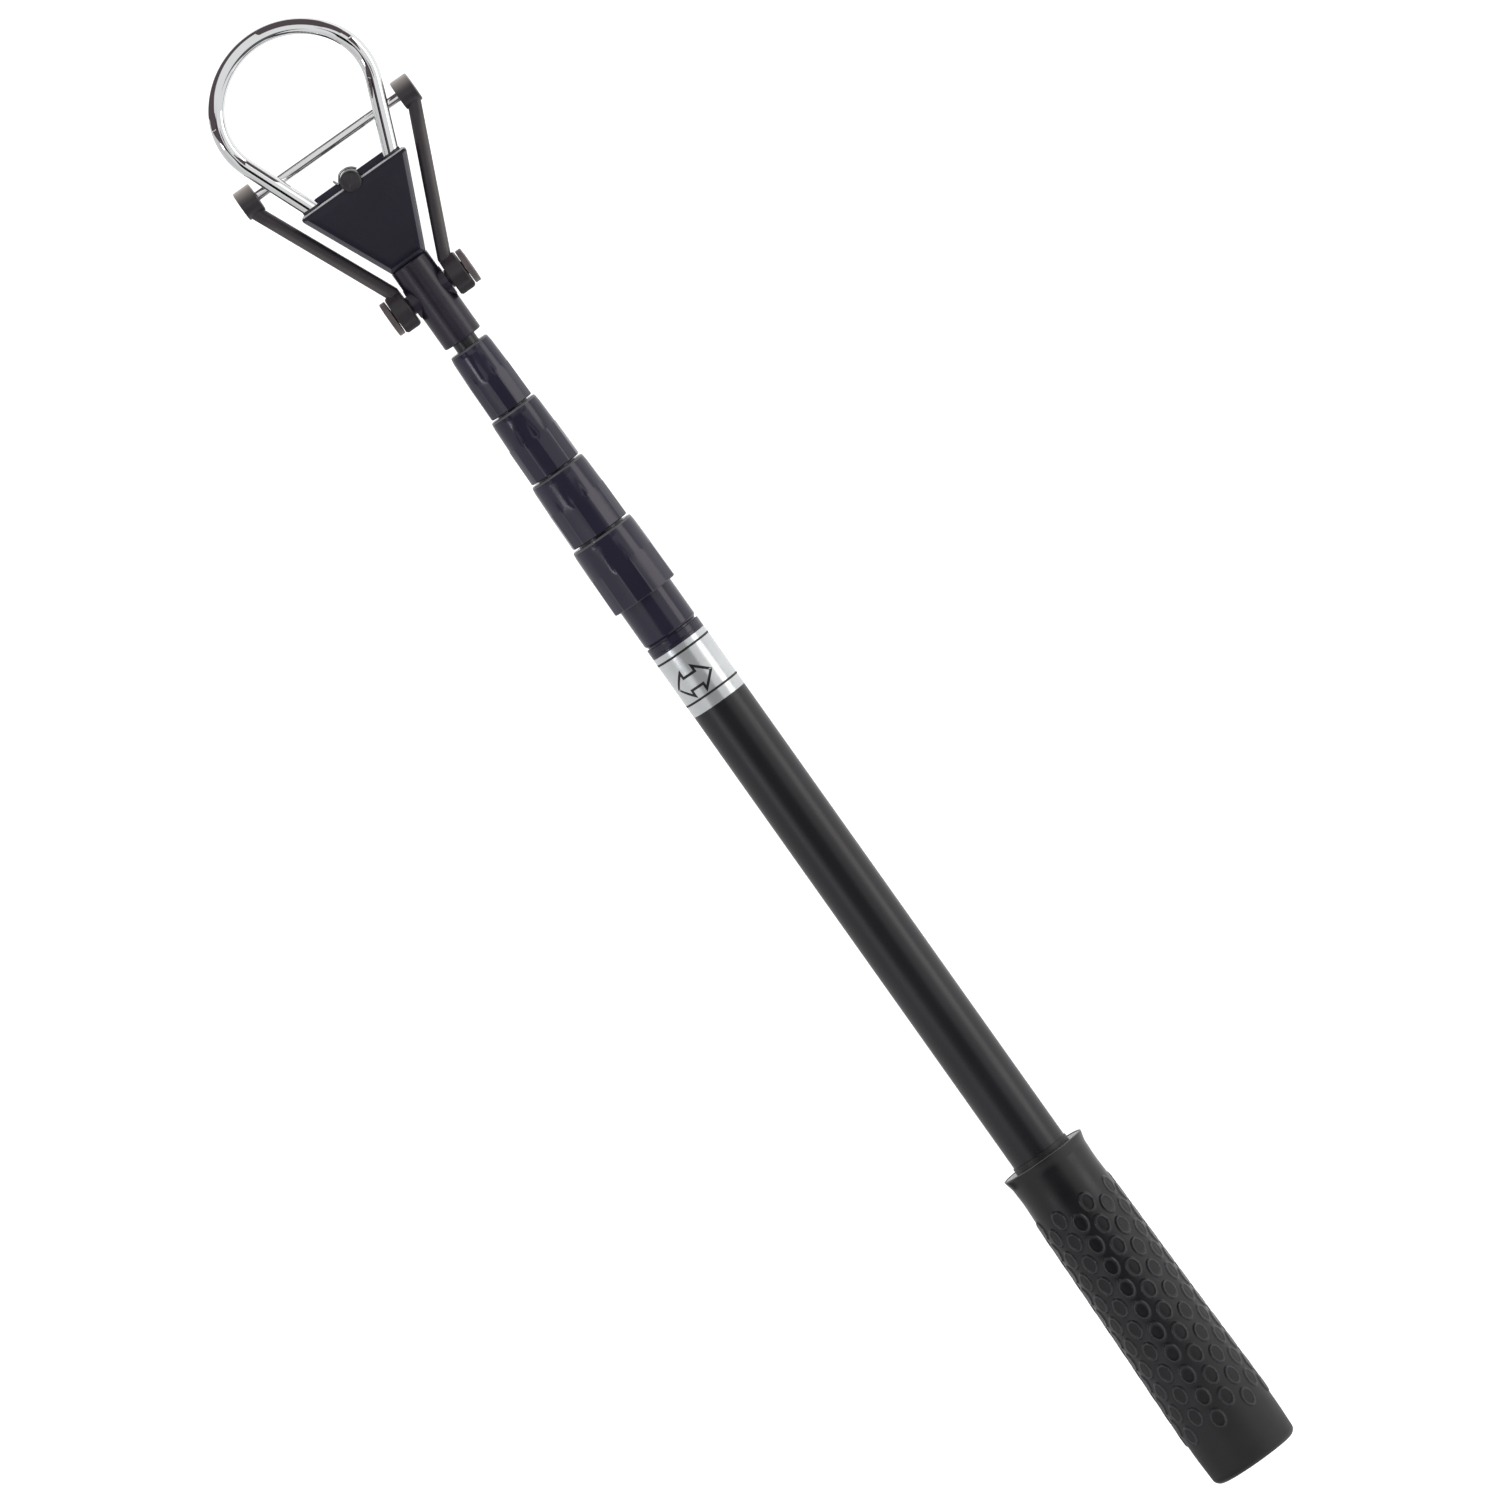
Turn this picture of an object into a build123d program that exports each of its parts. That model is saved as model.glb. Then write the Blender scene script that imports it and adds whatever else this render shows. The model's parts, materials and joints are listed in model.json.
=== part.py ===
from build123d import *
import os
from math import atan2, cos, radians, sin, tan

# Telescoping golf ball retriever, closed.
# Every shape is first built in pole coordinates: X runs from the grip's butt to the
# tip of the ball loop, Y across, Z out of the head's face, and the pole's axis is X.
# The last step drops the pole to lie on the ground under its own middle.

LENGTH = 515.6

# Grip: its side is (along, radius) points, the stop ring is (start, end, outer radius)
GRIP_END = 110.0
GRIP_PROFILE = [
    (3.2, 14.35),
    (10.0, 14.6),
    (20.0, 14.6),
    (50.0, 13.85),
    (95.0, 13.0),
    (101.0, 12.75),
    (106.5, 13.0),
]
GRIP_LIP = 13.75
GRIP_BUTT_WALL = 4.0
GRIP_BUTT_RADIUS = 2.6
GRIP_MOUTH = 12.3
GRIP_MOUTH_DEPTH = 5.0
OVAL_LONG = 6.2
OVAL_WIDE = 4.2
OVAL_RISE = 0.5
OVAL_ROOT = 1.0
OVAL_COLUMNS = 16
OVAL_ROWS = 10
OVAL_PITCH = 7.83
OVAL_START = 17.7
OVAL_TURN = 7.3
STOP_RING = (106.0, 111.6, 9.35)

# Handle tube and its fittings
TUBE_OUTER = 9.0
TUBE_INNER = 8.3
TUBE_START = 10.0
TUBE_END = 299.1
RING_START = 295.9
RING_OUTER = 9.05
LABEL_START = 275.1
LABEL_SKIN = 0.08
PLUG_FLANGE = 4.0
SPIGOT_START = 288.0
SKIRT_START = 299.7
SKIRT_OUTER = 8.95

# Sliding sections, outermost first: outer radius and inner radius of each tube
SECTIONS = {2: (7.7, 7.1), 3: (6.4, 5.8), 4: (5.1, 4.5), 5: (3.8, 3.2)}
STEM_RADIUS = {2: 3.5, 3: 3.0, 4: 2.3, 5: 1.8}
TIP_TUBE_END = 417.8

# Ferrules by section: bottom, top, lower radius, shoulder radius, top radius
FERRULES = {
    1: (313.0, 335.3, 10.9, 10.6, 10.3),
    2: (336.0, 358.1, 9.75, 9.4, 9.0),
    3: (358.6, 380.5, 8.5, 8.15, 7.75),
    4: (381.0, 403.1, 7.25, 6.95, 6.45),
}
FACETS = 12
FACET_TURN = {1: 14.0, 2: 8.0, 3: 22.0, 4: 10.0}
FACET_SHARE = 0.54
FACET_TAPER = 0.15
FERRULE_ROUND = 0.7
SOCKET_SHARE = 0.73
RUNNING = 0.05

# Twist lock at the lower end of every sliding section
LOCK_START = 14.0
LOCK_PITCH = 28.0
LOCK_CAP = 2.0
LOCK_GAP = 0.3
EXPANDER_LENGTH = 13.7
EXPANDER_SLOT = 1.2
FLANGE = 3.0
LOCK_SPIGOT = 7.7

# Head: the tongue is (length, width, depth), the clip's ear is (along, across)
HINGE_X = 422.6
NECK_START = 405.8
NECK_END = 433.6
NECK_RADIUS = 6.3
NECK_SHOULDER = 0.5
CROSS_BOSS_RADIUS = 4.9
CROSS_BOSS_REACH = 6.5
SPRING_CAVITY_RADIUS = 3.8
SPRING_CAVITY_REACH = 3.4
PLATE_TOP = 462.3
PLATE_HALF_LOW = 6.1
PLATE_HALF_HIGH = 19.2
PLATE_HALF_DEPTH = 4.5
PLATE_CORNER = 1.4
PLATE_CHAMFER = 0.6
TONGUE = (12.0, 8.0, 4.0)
BOSS_X = 462.9
BOSS_RADIUS = 3.25
BOSS_FRONT = 5.4
BOSS_BACK = 6.4
RIB_HALF_WIDTH = 12.7
RIB_START = 455.0
RIB_TOP = 464.4
RIB_BACK = 6.0
RIB_FRONT = 2.8
CLIP_RADIUS = 3.8
CLIP_WIRE = 0.35
CLIP_DEPTH = 1.6
CLIP_EAR = (1.6, 0.9)

# Ball loop: one round wire bent from two side arcs, a top arc and two straight legs
WIRE_RADIUS = 2.5
LOOP_SIDE_RADIUS = 20.0
LOOP_SIDE_X = 491.0
LOOP_SIDE_Y = 4.2
LOOP_TOP_X = 513.1
LEG_ANGLE = 22.0
LEG_END = 445.0
LEG_COLLAR_RADIUS = 2.95
LEG_COLLAR_HEIGHT = 0.8

# Gate: the hub's shoulder is (reach, radius), its foot is (bevel, half height)
PIN_RADIUS = 2.2
HUB_RADIUS = 6.0
HUB_SHOULDER = (6.7, 3.0)
HUB_FOOT = (0.6, 4.4)
HUB_INNER = 7.3
HUB_OUTER = 12.4
DISC_INNER = 12.8
DISC_OUTER = 14.6
DISC_RADIUS = 5.6
ARM_START = (425.5, 7.95)
ARM_END = (473.5, 29.6)
ARM_WIDTH = 4.15
ARM_DEPTH = 5.4
ARM_ROUND = 1.7
ROD_X = 474.9
ROD_DROP = 4.3
ROD_RADIUS = 1.5
ROD_REACH = 29.6
TIP_RADIUS = 4.7
TIP_INNER = 25.5
TIP_OUTER = 31.15
SPRING_RADIUS = 2.95
SPRING_WIRE = 0.35
SPRING_PITCH = 0.95
SPRING_HEIGHT = 4.75
SPRING_LEG = 1.8


def turned(points):
    """Solid of revolution about the pole's axis from (along, radius) points."""
    outline = Polyline(*[(x, r) for x, r in points], close=True)
    return revolve(Plane.XY * make_face(outline), Axis.X)


def sleeve(start, end, outer, inner):
    """Plain tube on the pole's axis."""
    return turned([(start, inner), (end, inner), (end, outer), (start, outer)])


def along_y(x, z, start, end, radius):
    """Cylinder across the pole from y = start to y = end."""
    plane = Plane(origin=(x, start, z), x_dir=(1, 0, 0), z_dir=(0, 1, 0))
    return extrude(plane * Circle(radius), amount=end - start)


def along_z(x, y, start, end, radius):
    """Cylinder out of the head's face from z = start to z = end."""
    return extrude(Plane((x, y, start)) * Circle(radius), amount=end - start)


def block(x, y, z):
    """Box from three (low, high) pairs."""
    size = [high - low for low, high in (x, y, z)]
    middle = [(high + low) / 2 for low, high in (x, y, z)]
    return Pos(*middle) * Box(*size)


def mirrored(shape):
    """The same shape on the other side of the pole."""
    return mirror(shape, about=Plane.XZ)


def grip_radius(x):
    """Radius of the grip's plain surface at x."""
    for (x0, r0), (x1, r1) in zip(GRIP_PROFILE, GRIP_PROFILE[1:]):
        if x <= x1:
            return r0 + (r1 - r0) * (x - x0) / (x1 - x0)
    return GRIP_PROFILE[-1][1]


def oval_column(column):
    """One lengthwise column of ovals, each standing straight out of the grip."""
    shift = OVAL_PITCH / 2 * (column % 2)
    ovals = []
    for row in range(OVAL_ROWS):
        x = OVAL_START + shift + OVAL_PITCH * row
        face = Plane(origin=(x, 0, grip_radius(x) - OVAL_ROOT))
        ovals.append(extrude(face * Ellipse(OVAL_LONG / 2, OVAL_WIDE / 2), amount=2 * OVAL_ROOT))
    turn = Rot(-OVAL_TURN - 360 * column / OVAL_COLUMNS, 0, 0)
    return [turn * oval for oval in ovals]


def grip_ovals():
    """Columns of ovals, every other column half a pitch further on, trimmed to one height."""
    limit = [(x, r + OVAL_RISE) for x, r in GRIP_PROFILE]
    core = turned([(limit[0][0], 0)] + limit + [(limit[-1][0], 0)])
    columns = [oval for column in range(OVAL_COLUMNS) for oval in oval_column(column)]
    return [oval & core for oval in columns]


def grip_butt_corner():
    """Points on the rounded edge of the butt."""
    radius = GRIP_BUTT_RADIUS
    middle = GRIP_PROFILE[0][1] - radius
    angles = [radians(step) for step in (0, 22.5, 45, 67.5)]
    return [(radius * (1 - cos(angle)), middle + radius * sin(angle)) for angle in angles]


def grip():
    """Sleeve with a closed butt, raised ovals and a flared mouth round the tube."""
    mouth = [
        (GRIP_END - 0.6, GRIP_LIP),
        (GRIP_END, GRIP_LIP - 0.4),
        (GRIP_END, GRIP_MOUTH),
        (GRIP_END - GRIP_MOUTH_DEPTH, GRIP_MOUTH - 1.4),
        (GRIP_END - GRIP_MOUTH_DEPTH, TUBE_OUTER),
    ]
    inside = [(GRIP_BUTT_WALL, TUBE_OUTER), (GRIP_BUTT_WALL, 0)]
    body = turned([(0, 0)] + grip_butt_corner() + GRIP_PROFILE + mouth + inside)
    return body + grip_ovals()


def label():
    return sleeve(LABEL_START, RING_START, TUBE_OUTER + LABEL_SKIN, TUBE_OUTER)


def handle_tube():
    """Drawn tube, turned down at the top where the end ring sits."""
    step = (RING_OUTER + TUBE_INNER) / 2
    return turned(
        [
            (TUBE_START, TUBE_INNER),
            (TUBE_END, TUBE_INNER),
            (TUBE_END, step),
            (RING_START, step),
            (RING_START, TUBE_OUTER),
            (TUBE_START, TUBE_OUTER),
        ]
    )


def end_ring():
    """Ring on the tube's top end, with a rounded shoulder."""
    inner = (RING_OUTER + TUBE_INNER) / 2
    ring = sleeve(RING_START, TUBE_END, RING_OUTER, inner)
    shoulder = ring.edges().filter_by(GeomType.CIRCLE).group_by(Axis.X)[-1].sort_by(SortBy.RADIUS)[-1]
    return fillet(shoulder, 0.3)


def tube_plug():
    """Plug in the tube's lower end, flange between the tube and the grip's butt wall."""
    flange = sleeve(PLUG_FLANGE, TUBE_START, TUBE_OUTER, 3.0)
    spigot = sleeve(TUBE_START, LOCK_START - 1.0, TUBE_INNER, 3.0)
    return flange + spigot


def ferrule_outside(number):
    """Twelve soft flats below, a plain cone above and a rounded top edge."""
    bottom, top, low, shoulder, high = FERRULES[number]
    middle = bottom + FACET_SHARE * (top - bottom)
    cone = turned([(bottom, 0), (top, 0), (top, high), (middle, shoulder), (bottom, shoulder)])
    rim = cone.edges().filter_by(GeomType.CIRCLE).group_by(Axis.X)[-1].sort_by(SortBy.RADIUS)[-1]
    cone = fillet(rim, FERRULE_ROUND)
    lower = Plane.YZ.offset(bottom) * RegularPolygon(low, FACETS)
    upper = Plane.YZ.offset(middle) * RegularPolygon(low - FACET_TAPER, FACETS)
    flats = Rot(-FACET_TURN[number], 0, 0) * loft([lower, upper])
    low_core = sleeve(bottom, middle, low + 1, low * cos(radians(180 / FACETS)) - 0.05)
    return (cone - low_core) + flats


def handle_ferrule():
    """Ferrule with a skirt and a spigot pressed into the handle tube."""
    bottom, top = FERRULES[1][:2]
    bore = SECTIONS[2][0] + RUNNING
    skirt = turned(
        [
            (SPIGOT_START, bore),
            (top, bore),
            (top, bore + 1),
            (bottom, SKIRT_OUTER),
            (SKIRT_START + 0.6, SKIRT_OUTER),
            (SKIRT_START, SKIRT_OUTER - 0.5),
            (SKIRT_START, TUBE_INNER),
            (SPIGOT_START, TUBE_INNER),
        ]
    )
    shell = ferrule_outside(1) - sleeve(bottom - 1, top + 1, bore, 0)
    return shell + skirt


def section_ferrule(number):
    """Ferrule whose socket holds its own tube and whose bore guides the next one."""
    bottom, top = FERRULES[number][:2]
    seat = bottom + SOCKET_SHARE * (top - bottom)
    shell = ferrule_outside(number) - sleeve(bottom - 1, seat, SECTIONS[number][0], 0)
    return shell - sleeve(bottom - 1, top + 1, SECTIONS[number + 1][0] + RUNNING, 0)


def lock_base(number):
    return LOCK_START + LOCK_PITCH * (number - 2)


def section_start(number):
    return lock_base(number) + LOCK_CAP + 2 * LOCK_GAP + EXPANDER_LENGTH + FLANGE


def section_end(number):
    """Top end of a section's tube, seated in its ferrule or in the neck."""
    if number == 5:
        return TIP_TUBE_END
    bottom, top = FERRULES[number][:2]
    return bottom + SOCKET_SHARE * (top - bottom)


def section_tube(number):
    outer, inner = SECTIONS[number]
    return sleeve(section_start(number), section_end(number), outer, inner)


def lock_plug(number):
    """Plug in a section's lower end: spigot, flange and the stem the expander rides on."""
    outer, inner = SECTIONS[number]
    start = section_start(number)
    return turned(
        [
            (lock_base(number), 0),
            (start + LOCK_SPIGOT, 0),
            (start + LOCK_SPIGOT, inner),
            (start, inner),
            (start, outer),
            (start - FLANGE, outer),
            (start - FLANGE, STEM_RADIUS[number]),
            (lock_base(number), STEM_RADIUS[number]),
        ]
    )


def lock_cap(number):
    base = lock_base(number)
    return sleeve(base, base + LOCK_CAP, SECTIONS[number][0] - 0.2, STEM_RADIUS[number])


def lock_expander(number):
    """Split sleeve that grips the inside of the next tube out."""
    outside = TUBE_INNER if number == 2 else SECTIONS[number - 1][1]
    start = lock_base(number) + LOCK_CAP + LOCK_GAP
    end = start + EXPANDER_LENGTH
    ring = sleeve(start, end, outside - RUNNING, STEM_RADIUS[number] + RUNNING)
    half = EXPANDER_SLOT / 2
    return ring - block((start - 1, end + 1), (-half, half), (0, outside + 1))


def leg_direction():
    return (cos(radians(LEG_ANGLE)), sin(radians(LEG_ANGLE)))


def leg_top():
    """Where a straight leg meets its side arc, on the +Y side."""
    x = LOOP_SIDE_X - LOOP_SIDE_RADIUS * sin(radians(LEG_ANGLE))
    y = LOOP_SIDE_Y + LOOP_SIDE_RADIUS * cos(radians(LEG_ANGLE))
    return x, y


def leg_y(x):
    """Offset of a leg's centreline from the pole's axis at x."""
    top_x, top_y = leg_top()
    return top_y - (top_x - x) * tan(radians(LEG_ANGLE))


def ball_loop():
    """One round wire along leg, side arc, top arc, side arc and leg."""
    rise = LOOP_TOP_X - LOOP_SIDE_X
    reach = rise - LOOP_SIDE_RADIUS
    drop = (LOOP_SIDE_Y**2 - reach**2) / (2 * reach)
    junction = atan2(drop, LOOP_SIDE_Y)
    join_x = LOOP_SIDE_X + LOOP_SIDE_RADIUS * sin(junction)
    join_y = LOOP_SIDE_Y + LOOP_SIDE_RADIUS * cos(junction)
    top_x, top_y = leg_top()
    widest = (LOOP_SIDE_X, LOOP_SIDE_Y + LOOP_SIDE_RADIUS)
    foot = (LEG_END, leg_y(LEG_END))
    path = Wire(
        [
            Line(foot, (top_x, top_y)),
            ThreePointArc((top_x, top_y), widest, (join_x, join_y)),
            ThreePointArc((join_x, join_y), (LOOP_TOP_X, 0), (join_x, -join_y)),
            ThreePointArc((join_x, -join_y), (widest[0], -widest[1]), (top_x, -top_y)),
            Line((top_x, -top_y), (foot[0], -foot[1])),
        ]
    )
    return sweep(Plane(origin=path @ 0, z_dir=path % 0) * Circle(WIRE_RADIUS), path=path)


def leg_holes(radius):
    """The space both legs take up inside the head plate."""
    foot = (LEG_END, leg_y(LEG_END), 0)
    plane = Plane(origin=foot, z_dir=(*leg_direction(), 0))
    leg = extrude(plane * Circle(radius), amount=30)
    return leg + mirrored(leg)


def leg_collar():
    """Small dark collar where a leg leaves the plate."""
    middle = leg_y(PLATE_TOP + LEG_COLLAR_HEIGHT / 2)
    plane = Plane(origin=(PLATE_TOP, middle, 0), z_dir=(1, 0, 0))
    collar = extrude(plane * Circle(LEG_COLLAR_RADIUS), amount=LEG_COLLAR_HEIGHT)
    return collar - leg_holes(WIRE_RADIUS)


def plate_blank(low, high):
    """Trapezoid plate between two depths."""
    corners = [
        (NECK_END, -PLATE_HALF_LOW),
        (PLATE_TOP, -PLATE_HALF_HIGH),
        (PLATE_TOP, PLATE_HALF_HIGH),
        (NECK_END, PLATE_HALF_LOW),
    ]
    face = make_face(Polyline(*corners, close=True))
    outer = face.vertices().group_by(Axis.X)[-1]
    return extrude(Plane.XY.offset(low) * fillet(outer, PLATE_CORNER), amount=high - low)


def tongue():
    long, wide, deep = TONGUE
    return block((NECK_END, NECK_END + long), (-wide / 2, wide / 2), (-deep / 2, deep / 2))


def plate_fittings():
    """Everything that is let into the two plate shells."""
    boss = along_z(BOSS_X, 0, -BOSS_BACK - 1, BOSS_FRONT + 1, BOSS_RADIUS)
    return leg_holes(WIRE_RADIUS) + boss + tongue()


def head_front_shell():
    """Front half of the plate, flat with a chamfered edge."""
    plate = plate_blank(0, PLATE_HALF_DEPTH)
    plate = chamfer(plate.edges().group_by(Axis.Z)[-1], PLATE_CHAMFER)
    return plate - plate_fittings()


def head_rear_shell():
    """Rear half of the plate with a bar across its back that stands above the plate."""
    plate = plate_blank(-PLATE_HALF_DEPTH, 0)
    plate = chamfer(plate.edges().group_by(Axis.Z)[0], PLATE_CHAMFER)
    bar = block((RIB_START, RIB_TOP), (-RIB_HALF_WIDTH, RIB_HALF_WIDTH), (-RIB_BACK, -RIB_FRONT))
    corners = bar.edges().filter_by(Axis.Z).group_by(Axis.X)[-1]
    return plate + chamfer(corners, 0.8) - plate_fittings()


def head_boss():
    """Round boss through the plate's top edge."""
    boss = along_z(BOSS_X, 0, -BOSS_BACK, BOSS_FRONT, BOSS_RADIUS)
    return fillet(boss.edges().group_by(Axis.Z)[-1], 0.8)


def boss_clip():
    """Short spring-wire clip round the boss, with a turned-up ear."""
    points = []
    for angle in (20, 60, 90, 120, 150):
        along = BOSS_X + CLIP_RADIUS * sin(radians(angle))
        points.append((along, CLIP_RADIUS * cos(radians(angle))))
    ear = (points[0][0] + CLIP_EAR[0], points[0][1] + CLIP_EAR[1])
    path = Plane.XY.offset(-CLIP_DEPTH) * Spline(ear, *points)
    return sweep(Plane(origin=path @ 0, z_dir=path % 0) * Circle(CLIP_WIRE), path=path)


def head_socket():
    """Neck that takes the tip tube and carries the hinge."""
    neck = sleeve(NECK_START, NECK_END, NECK_RADIUS, 0)
    neck = chamfer(neck.edges().filter_by(GeomType.CIRCLE).group_by(Axis.X)[0], 0.3)
    neck = fillet(neck.edges().filter_by(GeomType.CIRCLE).group_by(Axis.X)[-1], NECK_SHOULDER)
    boss = along_y(HINGE_X, 0, -CROSS_BOSS_REACH, CROSS_BOSS_REACH, CROSS_BOSS_RADIUS)
    bore = along_y(HINGE_X, 0, -10, 10, PIN_RADIUS + RUNNING)
    cavity = along_y(HINGE_X, 0, -SPRING_CAVITY_REACH, SPRING_CAVITY_REACH, SPRING_CAVITY_RADIUS)
    seat = sleeve(NECK_START - 1, TIP_TUBE_END, SECTIONS[5][0], 0)
    return neck + boss + tongue() - bore - cavity - seat - spring_leg()


def spring_leg():
    """Straight end of the spring, let into the neck."""
    start = (HINGE_X + SPRING_RADIUS, -SPRING_HEIGHT / 2, 0)
    plane = Plane(origin=start, z_dir=(1, 0, 0))
    return extrude(plane * Circle(SPRING_WIRE), amount=SPRING_LEG)


def gate_spring():
    """Torsion spring round the hinge pin."""
    coil = Helix(SPRING_PITCH, SPRING_HEIGHT, SPRING_RADIUS)
    wire = sweep(Plane(origin=coil @ 0, z_dir=coil % 0) * Circle(SPRING_WIRE), path=coil)
    turned_coil = Pos(HINGE_X, -SPRING_HEIGHT / 2, 0) * Rot(-90, 0, 0) * wire
    return turned_coil + spring_leg()


def hinge_pin():
    """Pin with a disc head on the +Y side."""
    shaft = along_y(HINGE_X, 0, -DISC_OUTER + 0.6, DISC_INNER, PIN_RADIUS)
    disc = along_y(HINGE_X, 0, DISC_INNER, DISC_OUTER, DISC_RADIUS)
    disc = chamfer(disc.edges().filter_by(GeomType.CIRCLE), 0.2)
    return shaft + disc


def pin_cap():
    """Disc pressed on the pin's end on the -Y side."""
    disc = along_y(HINGE_X, 0, -DISC_OUTER, -DISC_INNER, DISC_RADIUS)
    disc = chamfer(disc.edges().filter_by(GeomType.CIRCLE), 0.2)
    return disc - along_y(HINGE_X, 0, -DISC_OUTER + 0.6, 0, PIN_RADIUS)


def gate_hub():
    """Round hub with a flat foot toward the pole and a small shoulder toward the neck."""
    barrel = along_y(HINGE_X, 0, HUB_INNER, HUB_OUTER, HUB_RADIUS)
    barrel = chamfer(barrel.edges().filter_by(GeomType.CIRCLE), 0.35)
    bevel, half_height = HUB_FOOT
    foot = block((HINGE_X - HUB_RADIUS, HINGE_X), (HUB_INNER, HUB_OUTER), (-half_height, half_height))
    foot = chamfer(foot.edges().group_by(Axis.X)[0], bevel)
    reach, radius = HUB_SHOULDER
    return barrel + foot + along_y(HINGE_X, 0, reach, HUB_INNER, radius)


def gate_arm():
    """Hub on the pin, a sloping bar and a rounded tip round the rod, on the +Y side."""
    hub = gate_hub()
    tip = along_y(ROD_X, -ROD_DROP, TIP_INNER, TIP_OUTER, TIP_RADIUS)
    tip = fillet(tip.edges().filter_by(GeomType.CIRCLE), 0.4)
    start = Vector(*ARM_START, 0)
    end = Vector(*ARM_END, -ROD_DROP)
    run = end - start
    plane = Plane(origin=start, x_dir=(-run.Y, run.X, 0), z_dir=run)
    bar = extrude(plane * RectangleRounded(ARM_WIDTH, ARM_DEPTH, ARM_ROUND), amount=run.length)
    inside = block((400, 500), (0, HUB_INNER), (-20, 20))
    outside = block((460, 500), (TIP_OUTER, 60), (-20, 20))
    arm = hub + (bar - inside - outside) + tip
    return arm - gate_rod() - along_y(HINGE_X, 0, 0, 20, PIN_RADIUS)


def gate_rod():
    return along_y(ROD_X, -ROD_DROP, -ROD_REACH, ROD_REACH, ROD_RADIUS)


def handle_nodes():
    return {
        "grip": grip(),
        "grip_stop_ring": sleeve(*STOP_RING, TUBE_OUTER),
        "tube_plug": tube_plug(),
        "handle_tube": handle_tube(),
        "tube_end_ring": end_ring(),
        "label_band": label(),
        "handle_ferrule": handle_ferrule(),
    }


def section_nodes(number):
    nodes = {
        f"section_{number}_tube": section_tube(number),
        f"section_{number}_lock_plug": lock_plug(number),
        f"section_{number}_lock_cap": lock_cap(number),
        f"section_{number}_expander": lock_expander(number),
    }
    if number in FERRULES:
        nodes[f"section_{number}_ferrule"] = section_ferrule(number)
    return nodes


def head_nodes():
    return {
        "head_socket": head_socket(),
        "head_front_shell": head_front_shell(),
        "head_rear_shell": head_rear_shell(),
        "head_boss": head_boss(),
        "boss_clip": boss_clip(),
        "ball_loop": ball_loop(),
        "leg_collar_left": leg_collar(),
        "leg_collar_right": mirrored(leg_collar()),
        "gate_spring": gate_spring(),
    }


def gate_nodes():
    return {
        "gate_arm_left": gate_arm(),
        "gate_arm_right": mirrored(gate_arm()),
        "gate_rod": gate_rod(),
        "hinge_pin": hinge_pin(),
        "hinge_pin_cap": pin_cap(),
    }


def write_nodes(nodes, axis_height):
    """Writes each node with the pole lying on the ground, its middle over the origin."""
    ground = Location((-LENGTH / 2, 0, axis_height))
    for name, shape in nodes.items():
        solids = shape.solids()
        node = solids[0] if len(solids) == 1 else Compound(solids)
        export_step(node.moved(ground), f"parts/{name}.step")


os.makedirs("parts", exist_ok=True)
handle = handle_nodes()
rest_height = -handle["grip"].bounding_box().min.Z
write_nodes(handle, rest_height)
for section in SECTIONS:
    write_nodes(section_nodes(section), rest_height)
write_nodes(head_nodes(), rest_height)
write_nodes(gate_nodes(), rest_height)
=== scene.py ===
import json
import math
import bmesh
import bpy
from mathutils import Matrix, Vector


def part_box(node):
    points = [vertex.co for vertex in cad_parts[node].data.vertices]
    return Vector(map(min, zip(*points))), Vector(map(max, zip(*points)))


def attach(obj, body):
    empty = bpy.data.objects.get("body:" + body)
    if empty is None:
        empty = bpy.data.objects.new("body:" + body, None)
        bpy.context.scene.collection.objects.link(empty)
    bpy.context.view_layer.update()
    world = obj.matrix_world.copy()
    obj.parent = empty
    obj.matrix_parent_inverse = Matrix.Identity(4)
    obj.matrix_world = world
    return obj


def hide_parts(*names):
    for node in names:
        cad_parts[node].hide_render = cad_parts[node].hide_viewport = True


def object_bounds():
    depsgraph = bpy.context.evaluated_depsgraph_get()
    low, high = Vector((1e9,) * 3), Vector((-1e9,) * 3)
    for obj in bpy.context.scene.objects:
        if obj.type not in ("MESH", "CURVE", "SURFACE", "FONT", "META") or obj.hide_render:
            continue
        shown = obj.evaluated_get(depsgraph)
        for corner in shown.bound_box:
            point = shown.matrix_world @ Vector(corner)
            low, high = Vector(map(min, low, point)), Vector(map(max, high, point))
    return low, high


# Telescoping golf ball retriever lying on a pale floor, seen from above.
# Builders below take millimetres along the pole from the grip's butt ("d"),
# across it ("y") and out of the head's face from the pole's axis ("z").

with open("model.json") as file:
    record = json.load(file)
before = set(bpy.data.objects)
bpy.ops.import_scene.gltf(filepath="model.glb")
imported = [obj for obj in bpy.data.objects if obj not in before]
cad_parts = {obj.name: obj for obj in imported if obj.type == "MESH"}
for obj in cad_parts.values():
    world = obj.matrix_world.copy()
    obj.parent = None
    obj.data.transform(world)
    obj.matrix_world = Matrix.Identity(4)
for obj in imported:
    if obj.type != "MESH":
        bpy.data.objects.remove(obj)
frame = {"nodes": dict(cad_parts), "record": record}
cad_low, cad_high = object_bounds()

MM = 0.001
BUTT = cad_low.x
tube_low, tube_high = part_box("handle_tube")
AXIS_Z = (tube_low.z + tube_high.z) / 2


def place(d, y, z):
    """A point in metres from millimetres along, across and out from the pole's axis."""
    return Vector((BUTT + d * MM, y * MM, AXIS_Z + z * MM))


def span(node):
    """Start and end of a CAD node along the pole, in millimetres from the butt."""
    low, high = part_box(node)
    return (low.x - BUTT) / MM, (high.x - BUTT) / MM


# ---------------------------------------------------------------- mesh builders


def smoothed(data, sharp):
    """Shades a mesh smooth, except at edges that turn more than sharp degrees."""
    for polygon in data.polygons:
        polygon.use_smooth = True
    data.set_sharp_from_angle(angle=math.radians(sharp))


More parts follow.
